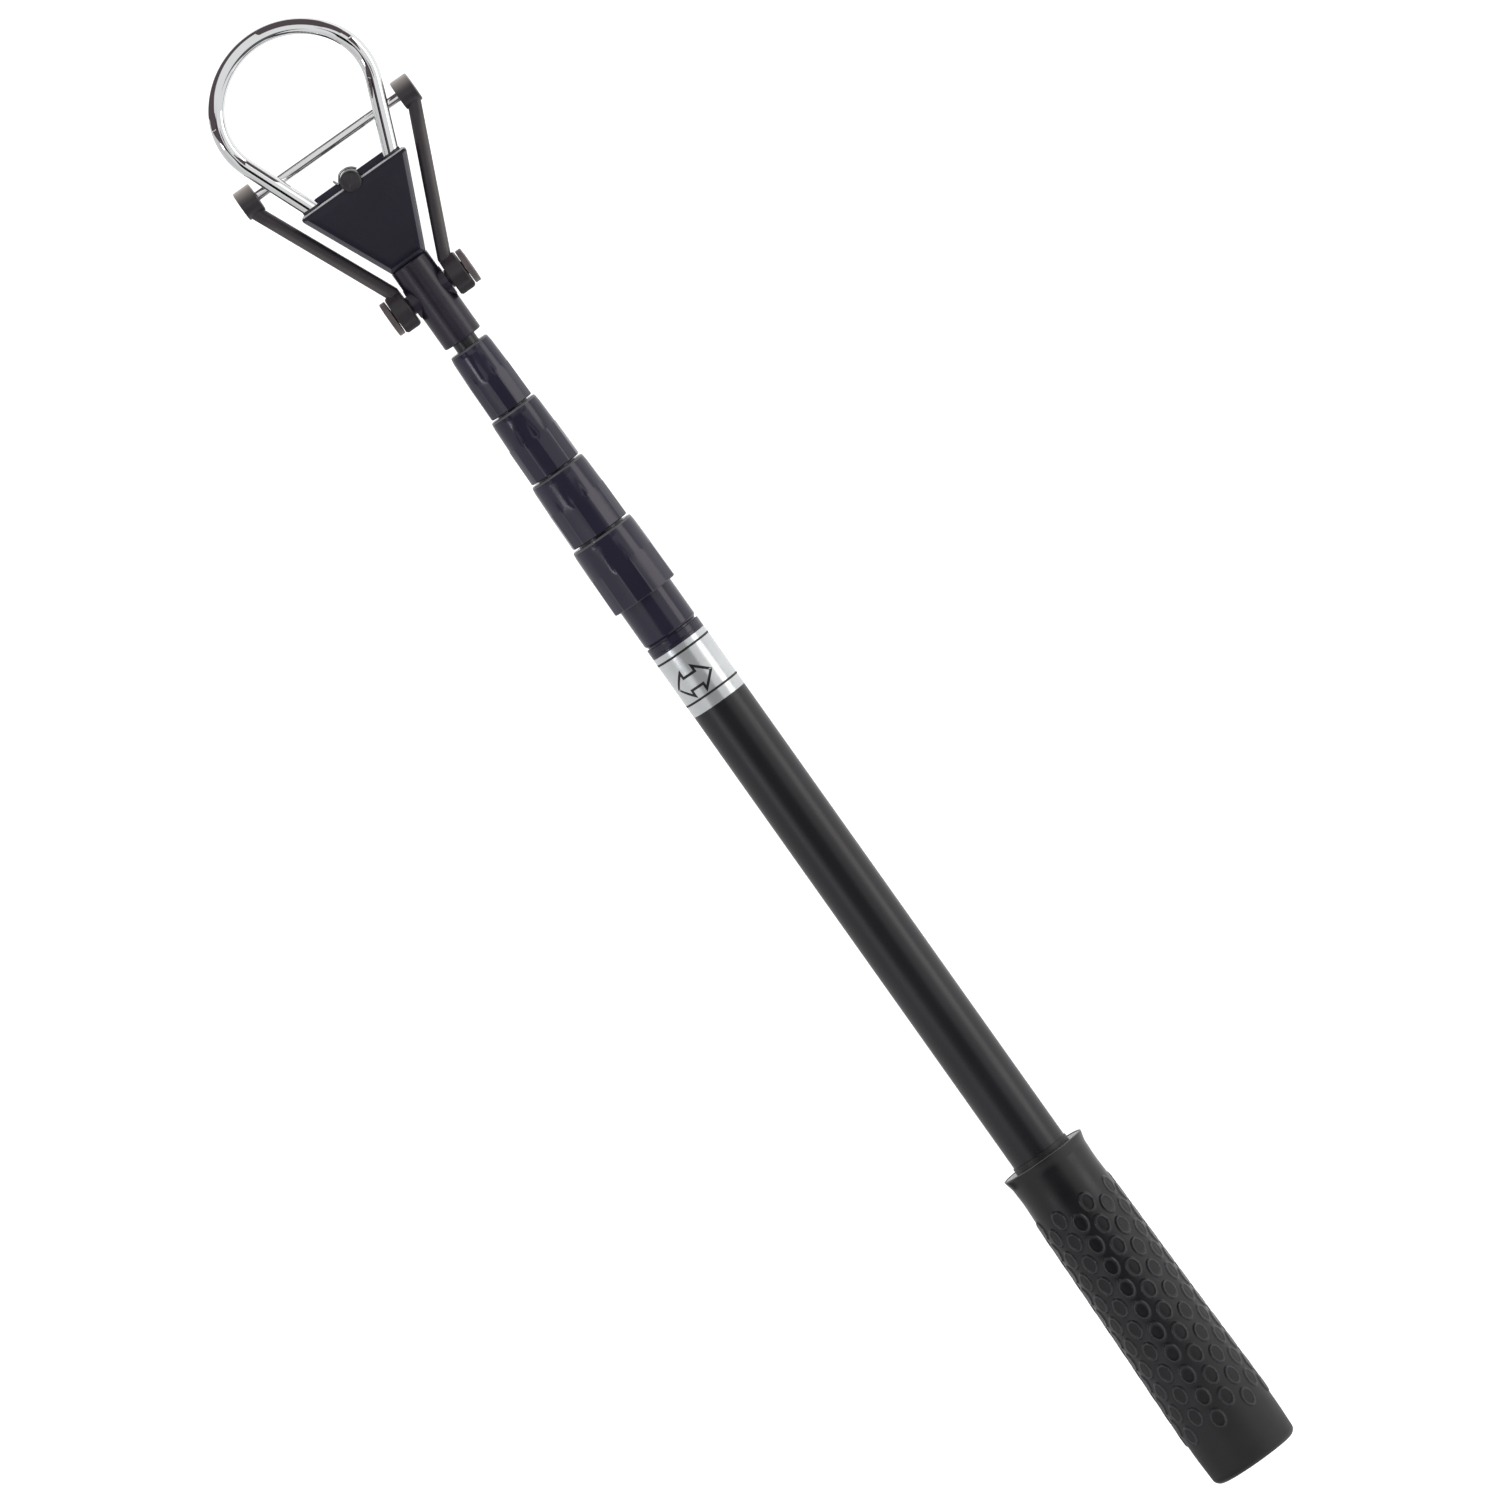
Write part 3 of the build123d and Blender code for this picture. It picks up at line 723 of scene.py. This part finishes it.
tube("handle_tube_skin", "handle_tube", "handle", HANDLE_R, HANDLE_BORE, 0.1)
tube("stop_ring", "grip_stop_ring", "handle", 9.35, HANDLE_R, 0.3)
end_ring()
for number, (outer, inner) in SECTION_RADII.items():
    body = "head" if number == 5 else f"section_{number}"
    tube(f"tube_{number}", f"section_{number}_tube", body, outer, inner)

# ---------------------------------------------------------------- ferrules

FACETS = 12
# Part of a ferrule's length that has flats, a flat's depth as a share of the
# radius, how much the flats taper in and how blunt the ridges between them are.
FACET_SHARE = 0.54
FACET_DEPTH = 0.021
FACET_TAPER = 0.12
RIDGE_BLUNT = 0.03
RIDGE_HALF_DEGREES = 1.3
# Thickness of a ferrule's skin, inside which nothing is shaped by the flats.
FERRULE_SKIN = 0.9
# How far up a ferrule the socket for its section's own tube goes.
SEAT_SHARE = 0.73
# The handle ferrule's skirt: where it starts, where it ends under the flats,
# and its radius.
SKIRT_LOW, SKIRT_TOP, SKIRT_R = 299.7, 313.0, 8.95
# number: (node, body, turn about the pole in degrees, outer radius of the flats,
#          of the shoulder above them and of the crown, bore, radius of the socket
#          that holds the section's own tube)
FERRULES = {
    1: ("handle_ferrule", "handle", 14.0, 10.9, 10.6, 10.3, 7.75, None),
    2: ("section_2_ferrule", "section_2", 8.0, 9.75, 9.4, 9.0, 6.45, 7.7),
    3: ("section_3_ferrule", "section_3", 22.0, 8.5, 8.15, 7.75, 5.15, 6.4),
    4: ("section_4_ferrule", "section_4", 10.0, 7.25, 6.95, 6.45, 3.85, 5.1),
}


def facet_shape(bottom, middle, flats, turn):
    """Twelve flats with soft ridges on the lower half of a ferrule."""
    sector = 2 * math.pi / FACETS

    def radius_at(along, angle, radius):
        on_flats = bottom - 0.01 <= along <= middle + 0.01
        if radius < flats - FERRULE_SKIN or not on_flats:
            return radius
        from_ridge = (angle - math.radians(turn) + sector / 2) % sector - sector / 2
        hollow = 1 - (1 - min(1.0, abs(from_ridge) * 2 / sector + RIDGE_BLUNT)) ** 2
        taper = FACET_TAPER * (along - bottom) / (middle - bottom)
        return radius - FACET_DEPTH * flats * hollow - taper

    return radius_at


def ridge_face(low, high, inside, turn):
    """Test for the faces of the narrow ridges between the flats."""
    sector = 360 / FACETS

    def chosen(d, y, z):
        angle, radius = round_pole(y, z)
        from_ridge = (math.degrees(angle) - turn + sector / 2) % sector - sector / 2
        return low < d < high and radius > inside and abs(from_ridge) < RIDGE_HALF_DEGREES

    return chosen


def ferrule(number):
    """Flats below, a plain tapered crown above; the handle's also has a skirt over its tube."""
    node, body, turn, flats, shoulder, crown, bore, socket = FERRULES[number]
    start, top = span(node)
    bottom = SKIRT_TOP if number == 1 else start
    middle = bottom + FACET_SHARE * (top - bottom)
    upper = [(top, bore, 0.15), (top, crown - 0.05, 0.75),
             (top - 2.2, (crown + shoulder) / 2, 2.0), (middle + 0.35, shoulder)]
    lower = [(middle, flats), (middle - 2.0, flats), (bottom + 2.0, flats),
             (bottom + 0.25, flats), (bottom, flats - 0.25)]
    outline = softened(upper, 6) + lower
    if number == 1:
        skirt = [(bottom, SKIRT_R), (SKIRT_LOW + 0.8, SKIRT_R, 0.5),
                 (SKIRT_LOW, SKIRT_R - 0.5, 0.2), (SKIRT_LOW, HANDLE_BORE),
                 (start, HANDLE_BORE), (start, bore)]
        outline += softened(skirt)
    else:
        seat = bottom + SEAT_SHARE * (top - bottom)
        outline += [(bottom, socket), (seat, socket), (seat, bore)]
    shape = facet_shape(bottom, middle, flats, turn)
    piece = lathe(f"ferrule_{number}", outline, look(node), turns=288, shape=shape, sharp=28.0)
    # Light grey band round the crown's top edge: a painted highlight.
    repaint_band(piece, EDGE_HIGHLIGHT, top - 0.62, top + 0.1, crown - 0.75)
    # Ridges between the flats in the lighter tone: a painted highlight.
    repaint(piece, RIDGE_HIGHLIGHT, ridge_face(bottom + 0.3, middle - 0.2, flats - 1.0, turn))
    finished(piece, body, node)


for number in FERRULES:
    ferrule(number)

# ---------------------------------------------------------------- label

LABEL_R = 9.08
INK_LOW, INK_HIGH = LABEL_R + 0.002, LABEL_R + 0.016
LINE_WIDTH = 0.66


def label_skin():
    """Foil round the handle tube."""
    start, end = span("label_band")
    corners = [(start, HANDLE_R), (end, HANDLE_R), (end, LABEL_R, 0.03), (start, LABEL_R, 0.03)]
    skin = lathe("foil_label", softened(corners), look("label_band"), turns=160)
    finished(skin, "handle", "label_band")


def printed_line(name, d):
    """Ink ring round the label."""
    low, high = d - LINE_WIDTH / 2, d + LINE_WIDTH / 2
    outline = [(low, INK_LOW), (high, INK_LOW), (high, INK_HIGH), (low, INK_HIGH)]
    line = lathe(name, outline, INK, turns=160)
    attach(line, "handle")


def offset_outline(points, distance):
    """Closed outline moved sideways by distance, with mitred corners."""
    count = len(points)
    moved = []
    for i, point in enumerate(points):
        here = Vector(point)
        a = (here - Vector(points[i - 1])).normalized()
        b = (Vector(points[(i + 1) % count]) - here).normalized()
        normal_a, normal_b = Vector((a.y, -a.x)), Vector((b.y, -b.x))
        miter = (normal_a + normal_b).normalized()
        moved.append(here + miter * distance / max(0.35, miter.dot(normal_a)))
    return moved


def side_marks(points, step=0.35):
    """Even marks along a closed outline, at most step apart: (side, share of the side)."""
    marks = []
    for i, point in enumerate(points):
        after = points[(i + 1) % len(points)]
        pieces = max(1, math.ceil((Vector(after) - Vector(point)).length / step))
        marks += [(i, k / pieces) for k in range(pieces)]
    return marks


def printed_arrow():
    """Inked outline of a double-headed arrow that points round the tube."""
    tip, shaft, head, waist = 6.55, 2.15, 4.1, 2.2
    half_stroke = 0.4
    middle_d, turn = 284.6, math.radians(17.5)
    outline = [(-tip, 0), (-shaft, -head), (-shaft, -waist), (shaft, -waist), (shaft, -head),
               (tip, 0), (shaft, head), (shaft, waist), (-shaft, waist), (-shaft, head)]
    marks = side_marks(outline)
    points = []
    for side in (offset_outline(outline, half_stroke), offset_outline(outline, -half_stroke)):
        for radius in (INK_LOW, INK_HIGH):
            for i, share in marks:
                flat = side[i].lerp(side[(i + 1) % len(side)], share)
                angle = turn - flat.x / LABEL_R
                y, z = radius * math.sin(angle), radius * math.cos(angle)
                points.append(place(middle_d + flat.y, y, z))
    count = len(marks)
    loops = [0, count, 3 * count, 2 * count]
    faces = []
    for i in range(count):
        n = (i + 1) % count
        for a, b in zip(loops, loops[1:] + loops[:1]):
            faces.append([a + i, a + n, b + n, b + i])
    arrow = mesh_object("label_arrow", points, faces, INK, 40.0)
    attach(arrow, "handle")


label_skin()
printed_line("label_line_top", 293.7)
printed_line("label_line_low", 279.0)
printed_arrow()

# ---------------------------------------------------------------- head

PLATE_LOW, PLATE_TOP = 433.6, 462.3
PLATE_HALF_LOW, PLATE_HALF_HIGH = 6.1, 19.2
PLATE_CORNER = 1.4
# Edge of each shell as (inset, height) from its outline to its flat face.
FRONT_CROWN = [(0.0, 3.3), (0.07, 3.62), (0.2, 3.86), (0.42, 4.02), (0.8, 4.16), (1.3, 4.3),
               (1.9, 4.41), (2.6, 4.48), (3.3, 4.5)]
REAR_CROWN = [(0.0, 3.9), (0.12, 4.2), (0.35, 4.42), (0.6, 4.5)]


def plate_outline(inset):
    """Trapezoid of the plate drawn in by an even margin, as (d, y) points."""
    slope = (PLATE_HALF_HIGH - PLATE_HALF_LOW) / (PLATE_TOP - PLATE_LOW)
    margin = inset * math.hypot(1, slope)
    half_low = PLATE_HALF_LOW + slope * inset - margin
    half_high = PLATE_HALF_HIGH - slope * inset - margin
    corner = max(0.2, PLATE_CORNER - inset)
    low, top = PLATE_LOW + inset, PLATE_TOP - inset
    corners = [(low, -half_low, 0.1), (top, -half_high, corner), (top, half_high, corner),
               (low, half_low, 0.1)]
    return softened(corners, 8)


def stacked(name, layers, material):
    """Solid through outlines of equal length, each at its own height: [(outline, z), ...]."""
    points = [place(d, y, z) for outline, z in layers for d, y in outline]
    count = len(layers[0][0])
    last = count * (len(layers) - 1)
    faces = [list(range(count)), list(range(last, last + count))]
    for base in range(0, last, count):
        for i in range(count):
            n = (i + 1) % count
            faces.append([base + i, base + n, base + count + n, base + count + i])
    return mesh_object(name, points, faces, material)


def plate_shell(name, node, crown, side):
    """One shell of the plate; side is 1 for the front and -1 for the rear."""
    layers = [(plate_outline(0.0), 0.03 * side)]
    layers += [(plate_outline(inset), height * side) for inset, height in crown]
    return finished(stacked(name, layers, look(node)), "head", node)


def front_plate():
    """Front shell with painted highlights: a light bevel, a pale top edge and a lighter lower
    edge.
    """
    front = plate_shell("plate_front", "head_front_shell", FRONT_CROWN, 1)
    bevel_start, bevel_end = PLATE_LOW + 1.5, PLATE_TOP - 1.35
    bevel_low, bevel_high = 3.4, 4.3

    def on_bevel(d, y, z):
        return bevel_start < d < bevel_end and bevel_low < z < bevel_high

    # Light grey over the bevel: a painted highlight.
    repaint(front, EDGE_HIGHLIGHT, on_bevel)
    # Pale grey along the top edge: a painted highlight.
    repaint_band(front, TOP_EDGE_HIGHLIGHT, PLATE_TOP - 0.45, PLATE_TOP + 0.1)
    # Lighter band along the plate's lower edge: a painted highlight.
    repaint_band(front, RIDGE_HIGHLIGHT, PLATE_LOW - 0.1, PLATE_LOW + 1.2)


def rear_bar():
    """Bar on the rear shell that stands above the plate's top edge."""
    low, top, half = 455.0, 464.4, 12.7
    outline = softened([(low, -half, 0.4), (top, -half, 0.9), (top, half, 0.9), (low, half, 0.4)])
    layers = [(outline, -6.0), (outline, -2.8)]
    rib = bevelled(stacked("plate_rear_bar", layers, look("head_rear_shell")), 0.3)
    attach(rib, "head")


def boss():
    """Round boss through the plate at its top edge."""
    corners = [(-6.4, 0), (-6.4, 3.25, 0.4), (5.4, 3.25, 0.9), (5.62, 1.2, 0.6), (5.62, 0)]
    piece = lathe("plate_boss", softened(corners), look("head_boss"), turns=96, axis="z",
                  centre=(462.9, 0, 0))
    finished(piece, "head", "head_boss")


front_plate()
plate_shell("plate_rear", "head_rear_shell", REAR_CROWN, -1)
rear_bar()
boss()

# ---------------------------------------------------------------- ball loop

WIRE_R = 2.49
# The side arcs' radius and the middle of the +Y one.
SIDE_R, SIDE_D, SIDE_Y = 20.0, 491.0, 4.2
LOOP_TOP = 513.1
LEG_SLOPE = math.radians(22.0)
LEG_END = 445.0
LEG_STEPS, ARC_STEPS = 24, 40


def loop_line():
    """Centreline of the wire: leg, side arc, flatter top arc, and back."""
    reach = LOOP_TOP - SIDE_D - SIDE_R
    drop = (SIDE_Y ** 2 - reach ** 2) / (2 * reach)
    top_r, top_d = LOOP_TOP - SIDE_D + drop, SIDE_D - drop
    joint = math.atan2(drop, SIDE_Y)
    leg_d, leg_y = SIDE_D - SIDE_R * math.sin(LEG_SLOPE), SIDE_Y + SIDE_R * math.cos(LEG_SLOPE)
    half = []
    for i in range(LEG_STEPS + 1):
        d = LEG_END + (leg_d - LEG_END) * i / LEG_STEPS
        half.append((d, leg_y - (leg_d - d) * math.tan(LEG_SLOPE)))
    for i in range(1, ARC_STEPS + 1):
        angle = -LEG_SLOPE + (joint + LEG_SLOPE) * i / ARC_STEPS
        half.append((SIDE_D + SIDE_R * math.sin(angle), SIDE_Y + SIDE_R * math.cos(angle)))
    for i in range(1, ARC_STEPS + 1):
        angle = joint + (math.pi / 2 - joint) * i / ARC_STEPS
        half.append((top_d + top_r * math.sin(angle), top_r * math.cos(angle)))
    return half + [(d, -y) for d, y in reversed(half[:-1])]


finished(swept("ball_loop_wire", loop_line(), WIRE_R, look("ball_loop")), "head", "ball_loop")

# ---------------------------------------------------------------- gate

HINGE = (422.6, 0, 0)
# Dished head of the hinge pin at its +Y end, as (y, radius) from the pin out.
PIN_HEAD = [(12.8, 2.2), (12.8, 5.6, 0.25), (14.6, 5.6, 0.35), (14.6, 4.5, 0.2),
            (14.3, 4.1, 0.2), (14.3, 2.4, 0.3), (14.6, 1.9, 0.3), (14.6, 0)]
# The pin's plain end, which is also the floor of the cap's socket.
PIN_END = [(-14.0, 2.2), (-14.0, 0)]


def gate_rod():
    """Rod between the arms' tips, on its CAD node's axis."""
    low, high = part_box("gate_rod")
    d = ((low.x + high.x) / 2 - BUTT) / MM
    z = ((low.z + high.z) / 2 - AXIS_Z) / MM
    radius, half = 1.5, 29.6
    corners = [(-half, 0), (-half, radius, 0.3), (half, radius, 0.3), (half, 0)]
    rod = lathe("gate_rod_bar", softened(corners), look("gate_rod"), turns=64, axis="y",
                centre=(d, 0, z))
    finished(rod, "gate", "gate_rod")


def hinge_pin():
    """Pin with its head on one side and a cap like that head on the other."""
    corners = PIN_END[::-1] + PIN_HEAD
    pin = lathe("hinge_pin_left", softened(corners), look("hinge_pin"), turns=96, axis="y",
                centre=HINGE)
    finished(pin, "gate", "hinge_pin")
    corners = [(-y, *rest) for y, *rest in reversed(PIN_HEAD)] + PIN_END
    cap = lathe("hinge_pin_right", softened(corners), look("hinge_pin_cap"), turns=96, axis="y",
                centre=HINGE)
    finished(cap, "gate", "hinge_pin_cap")


gate_rod()
hinge_pin()

# ---------------------------------------------------------------- stage


def glow(name, colour, strength):
    """Material that only glows."""
    material = bpy.data.materials.new(name)
    material.use_nodes = True
    tree = material.node_tree
    tree.nodes.clear()
    emission = tree.nodes.new("ShaderNodeEmission")
    emission.inputs["Color"].default_value = (*colour, 1)
    emission.inputs["Strength"].default_value = strength
    output = tree.nodes.new("ShaderNodeOutputMaterial")
    tree.links.new(emission.outputs["Emission"], output.inputs["Surface"])
    return material


def staged(name, points, faces, material):
    """Plain mesh for the floor and the cards."""
    data = bpy.data.meshes.new(name)
    data.from_pydata([tuple(p) for p in points], [], faces)
    data.materials.append(material)
    piece = bpy.data.objects.new(name, data)
    bpy.context.scene.collection.objects.link(piece)
    return piece


def floor():
    """Wide matt floor with a glow of its own, near white and unseen by reflections."""
    material = bpy.data.materials.new("pale_floor")
    material.use_nodes = True
    shader = material.node_tree.nodes["Principled BSDF"]
    shader.inputs["Base Color"].default_value = (0.86, 0.86, 0.86, 1)
    shader.inputs["Roughness"].default_value = 0.9
    shader.inputs["Specular IOR Level"].default_value = 0.1
    shader.inputs["Emission Color"].default_value = (1, 1, 1, 1)
    shader.inputs["Emission Strength"].default_value = 0.9
    size, level = 14.0, -0.0002
    corners = [(-size, -size, level), (size, -size, level), (size, size, level),
               (-size, size, level)]
    staged("floor", corners, [(0, 1, 2, 3)], material).visible_glossy = False


def sky():
    """Soft pale room, a little brighter on the -Y side and below the horizon."""
    world = bpy.data.worlds.new("studio")
    bpy.context.scene.world = world
    world.use_nodes = True
    tree = world.node_tree
    background = tree.nodes["Background"]
    where = tree.nodes.new("ShaderNodeTexCoord")
    split = tree.nodes.new("ShaderNodeSeparateXYZ")
    tree.links.new(where.outputs["Generated"], split.inputs["Vector"])
    above = map_range(tree, split.outputs["Y"], 0.4, 0.95, 0.75, 0.56)
    below = map_range(tree, split.outputs["Y"], -0.2, 0.9, 0.93, 0.62)
    horizon = map_range(tree, split.outputs["Z"], -0.12, 0.06, 0.0, 1.0)
    blend = tree.nodes.new("ShaderNodeMix")
    tree.links.new(horizon, blend.inputs["Factor"])
    tree.links.new(below, blend.inputs["A"])
    tree.links.new(above, blend.inputs["B"])
    tree.links.new(blend.outputs["Result"], background.inputs["Color"])
    background.inputs["Strength"].default_value = 1.0


def card(name, points, faces, colour, strength=1.0):
    """Glowing card that only reflections see."""
    piece = staged(name, points, faces, glow(name, colour, strength))
    piece.visible_camera = False
    piece.visible_diffuse = False
    piece.visible_shadow = False


def studio_card(name, colour, strength, stations):
    """Card curved round the head; stations are (heading, low, high) in degrees.

    Heading turns from the head's direction toward +Y, low and high count down
    from straight up.
    """
    middle, reach = place(440, 0, 0), 3.0
    points, faces, steps = [], [], 10
    for heading, low, high in stations:
        turn = math.radians(heading)
        for step in range(steps + 1):
            fall = math.radians(low + (high - low) * step / steps)
            flat = math.sin(fall)
            way = Vector((flat * math.cos(turn), flat * math.sin(turn), math.cos(fall)))
            points.append(middle + way * reach)
    for i in range(len(stations) - 1):
        for step in range(steps):
            a, b = i * (steps + 1) + step, (i + 1) * (steps + 1) + step
            faces.append((a, a + 1, b + 1, b))
    card(name, points, faces, colour, strength)


# A shoulder of the loop as (d, y), and the heading from it to its card.
SHOULDER_D, SHOULDER_Y = 498.5, 22.7
SHOULDER_HEADING = 68


def shoulder_card(name, side, half, low, high):
    """Upright brown card beside one shoulder of the loop, on the side given as 1 or -1.

    half is half its width in metres, low and high count down from straight up.
    """
    heading, distance = math.radians(SHOULDER_HEADING * side), 0.1
    way = Vector((math.cos(heading), math.sin(heading), 0))
    across = Vector((-way.y, way.x, 0)) * half
    foot = place(SHOULDER_D, SHOULDER_Y * side, 0) + way * distance
    points = []
    for fall in (low, high):
        level = Vector((0, 0, distance / math.tan(math.radians(fall))))
        points += [foot - across + level, foot + across + level]
    card(name, points, [(0, 1, 3, 2)], BROWN)


BROWN = (0.086, 0.069, 0.076)
NEAR_BLACK = (0.012, 0.011, 0.013)
# Name, colour, strength and stations of the cards round the head. The dark
# ones draw the bands on the loop, the bright ones its highlights.
STUDIO_CARDS = [
    ("dark_end_corner", BROWN, 1.0, [(-88, 12, 20), (-80, 10, 42), (-72.5, 10, 64)]),
    ("dark_end_right", BROWN, 1.0, [
        (-63.5, 22, 86), (-60, 26, 90), (-50, 22, 96), (-45, 16, 106), (-40, 18, 108),
        (-30, 21, 114), (-20, 24, 120), (-2.5, 28, 124)]),
    ("dark_end_low", BROWN, 1.0, [
        (-2.5, 73, 124), (8, 74, 127), (20, 72, 130), (30, 67, 134), (40, 58, 136),
        (47, 50, 138), (53, 38, 138), (60, 28, 139), (63.5, 22, 139)]),
    ("dark_end_left", BROWN, 1.0, [
        (72.5, 5, 104), (78, 5, 75), (84, 6, 48), (92, 8, 28), (100, 8, 20)]),
    ("dark_overhead", NEAR_BLACK, 1.0, [
        (59, 31, 36), (63, 22, 39), (66, 16.5, 40), (72, 11.5, 41), (80, 8.5, 40),
        (88, 7.5, 36), (94, 8, 26), (101, 9, 20), (106, 6, 32), (112, 5, 37.5),
        (118, 5, 37), (121, 5, 22), (126, 6, 13), (131, 7, 10)]),
    ("dark_over_leg", NEAR_BLACK, 1.0, [
        (-126, 0, 3), (-118, 0, 15), (-106, 0, 15), (-98, 0, 3)]),
    ("leg_glow", (1.0, 1.0, 1.0), 1.2, [(-72.5, 38, 70), (-63.5, 38, 70)]),
    ("thin_dark", (0.03, 0.03, 0.032), 1.0, [
        (195, 43, 50), (180, 46, 58), (165, 58, 80), (150, 72, 104), (135, 88, 124),
        (120, 110, 148), (112, 122, 150)]),
    ("bright_strip", (1.0, 0.97, 0.95), 2.3, [
        (-128, 62, 84), (-110, 57, 80), (-90, 56, 78), (-74, 57, 80)]),
    ("window", (1.0, 1.0, 1.08), 6.0, [(77.5, 41, 53), (84, 40, 53), (89, 41, 52)]),
]


def pole_cards():
    """A grey card over the pole and a soft light beside the grip, placed in metres."""
    left, right, low, high, up = -0.226, 0.152, -0.056, 0.070, 0.165
    corners = [(left, low, up), (right, low, up), (right, high, up), (left, high, up)]
    card("dark_over_pole", corners, [(0, 1, 2, 3)], (0.10, 0.097, 0.104))
    left, right, side, low, high = -0.31, -0.175, -0.16, 0.015, 0.15
    corners = [(left, side, low), (right, side, low), (right, side, high), (left, side, high)]
    card("soft_beside_grip", corners, [(0, 1, 2, 3)], (1.0, 0.99, 0.98), 1.05)


floor()
sky()
for entry in STUDIO_CARDS:
    studio_card(*entry)
shoulder_card("shoulder_card_left", 1, 0.0092, 18, 112)
shoulder_card("shoulder_card_right", -1, 0.0100, 33, 80)
pole_cards()


def camera():
    """Looks down on the closed retriever, head up and to the left."""
    distance, view_width, sensor = 10.0, 0.44225, 36.0
    tilt, roll, heading = math.radians(3.4), math.radians(2.0), math.radians(35.25)
    target = place(257.8, 1.1, 0)
    back = Vector((math.sin(tilt), -math.sin(roll), math.cos(tilt))).normalized()
    up = Vector((math.cos(heading), -math.sin(heading), 0))
    right = up.cross(back).normalized()
    up = back.cross(right)
    data = bpy.data.cameras.new("camera")
    data.sensor_width = sensor
    data.lens = sensor * distance / view_width
    data.clip_start, data.clip_end = 0.1, 50
    piece = bpy.data.objects.new("camera", data)
    bpy.context.scene.collection.objects.link(piece)
    piece.location = target + back * distance
    piece.rotation_mode = "QUATERNION"
    piece.rotation_quaternion = Matrix((right, up, back)).transposed().to_quaternion()
    bpy.context.scene.camera = piece


camera()
bpy.context.scene.view_settings.view_transform = "Standard"
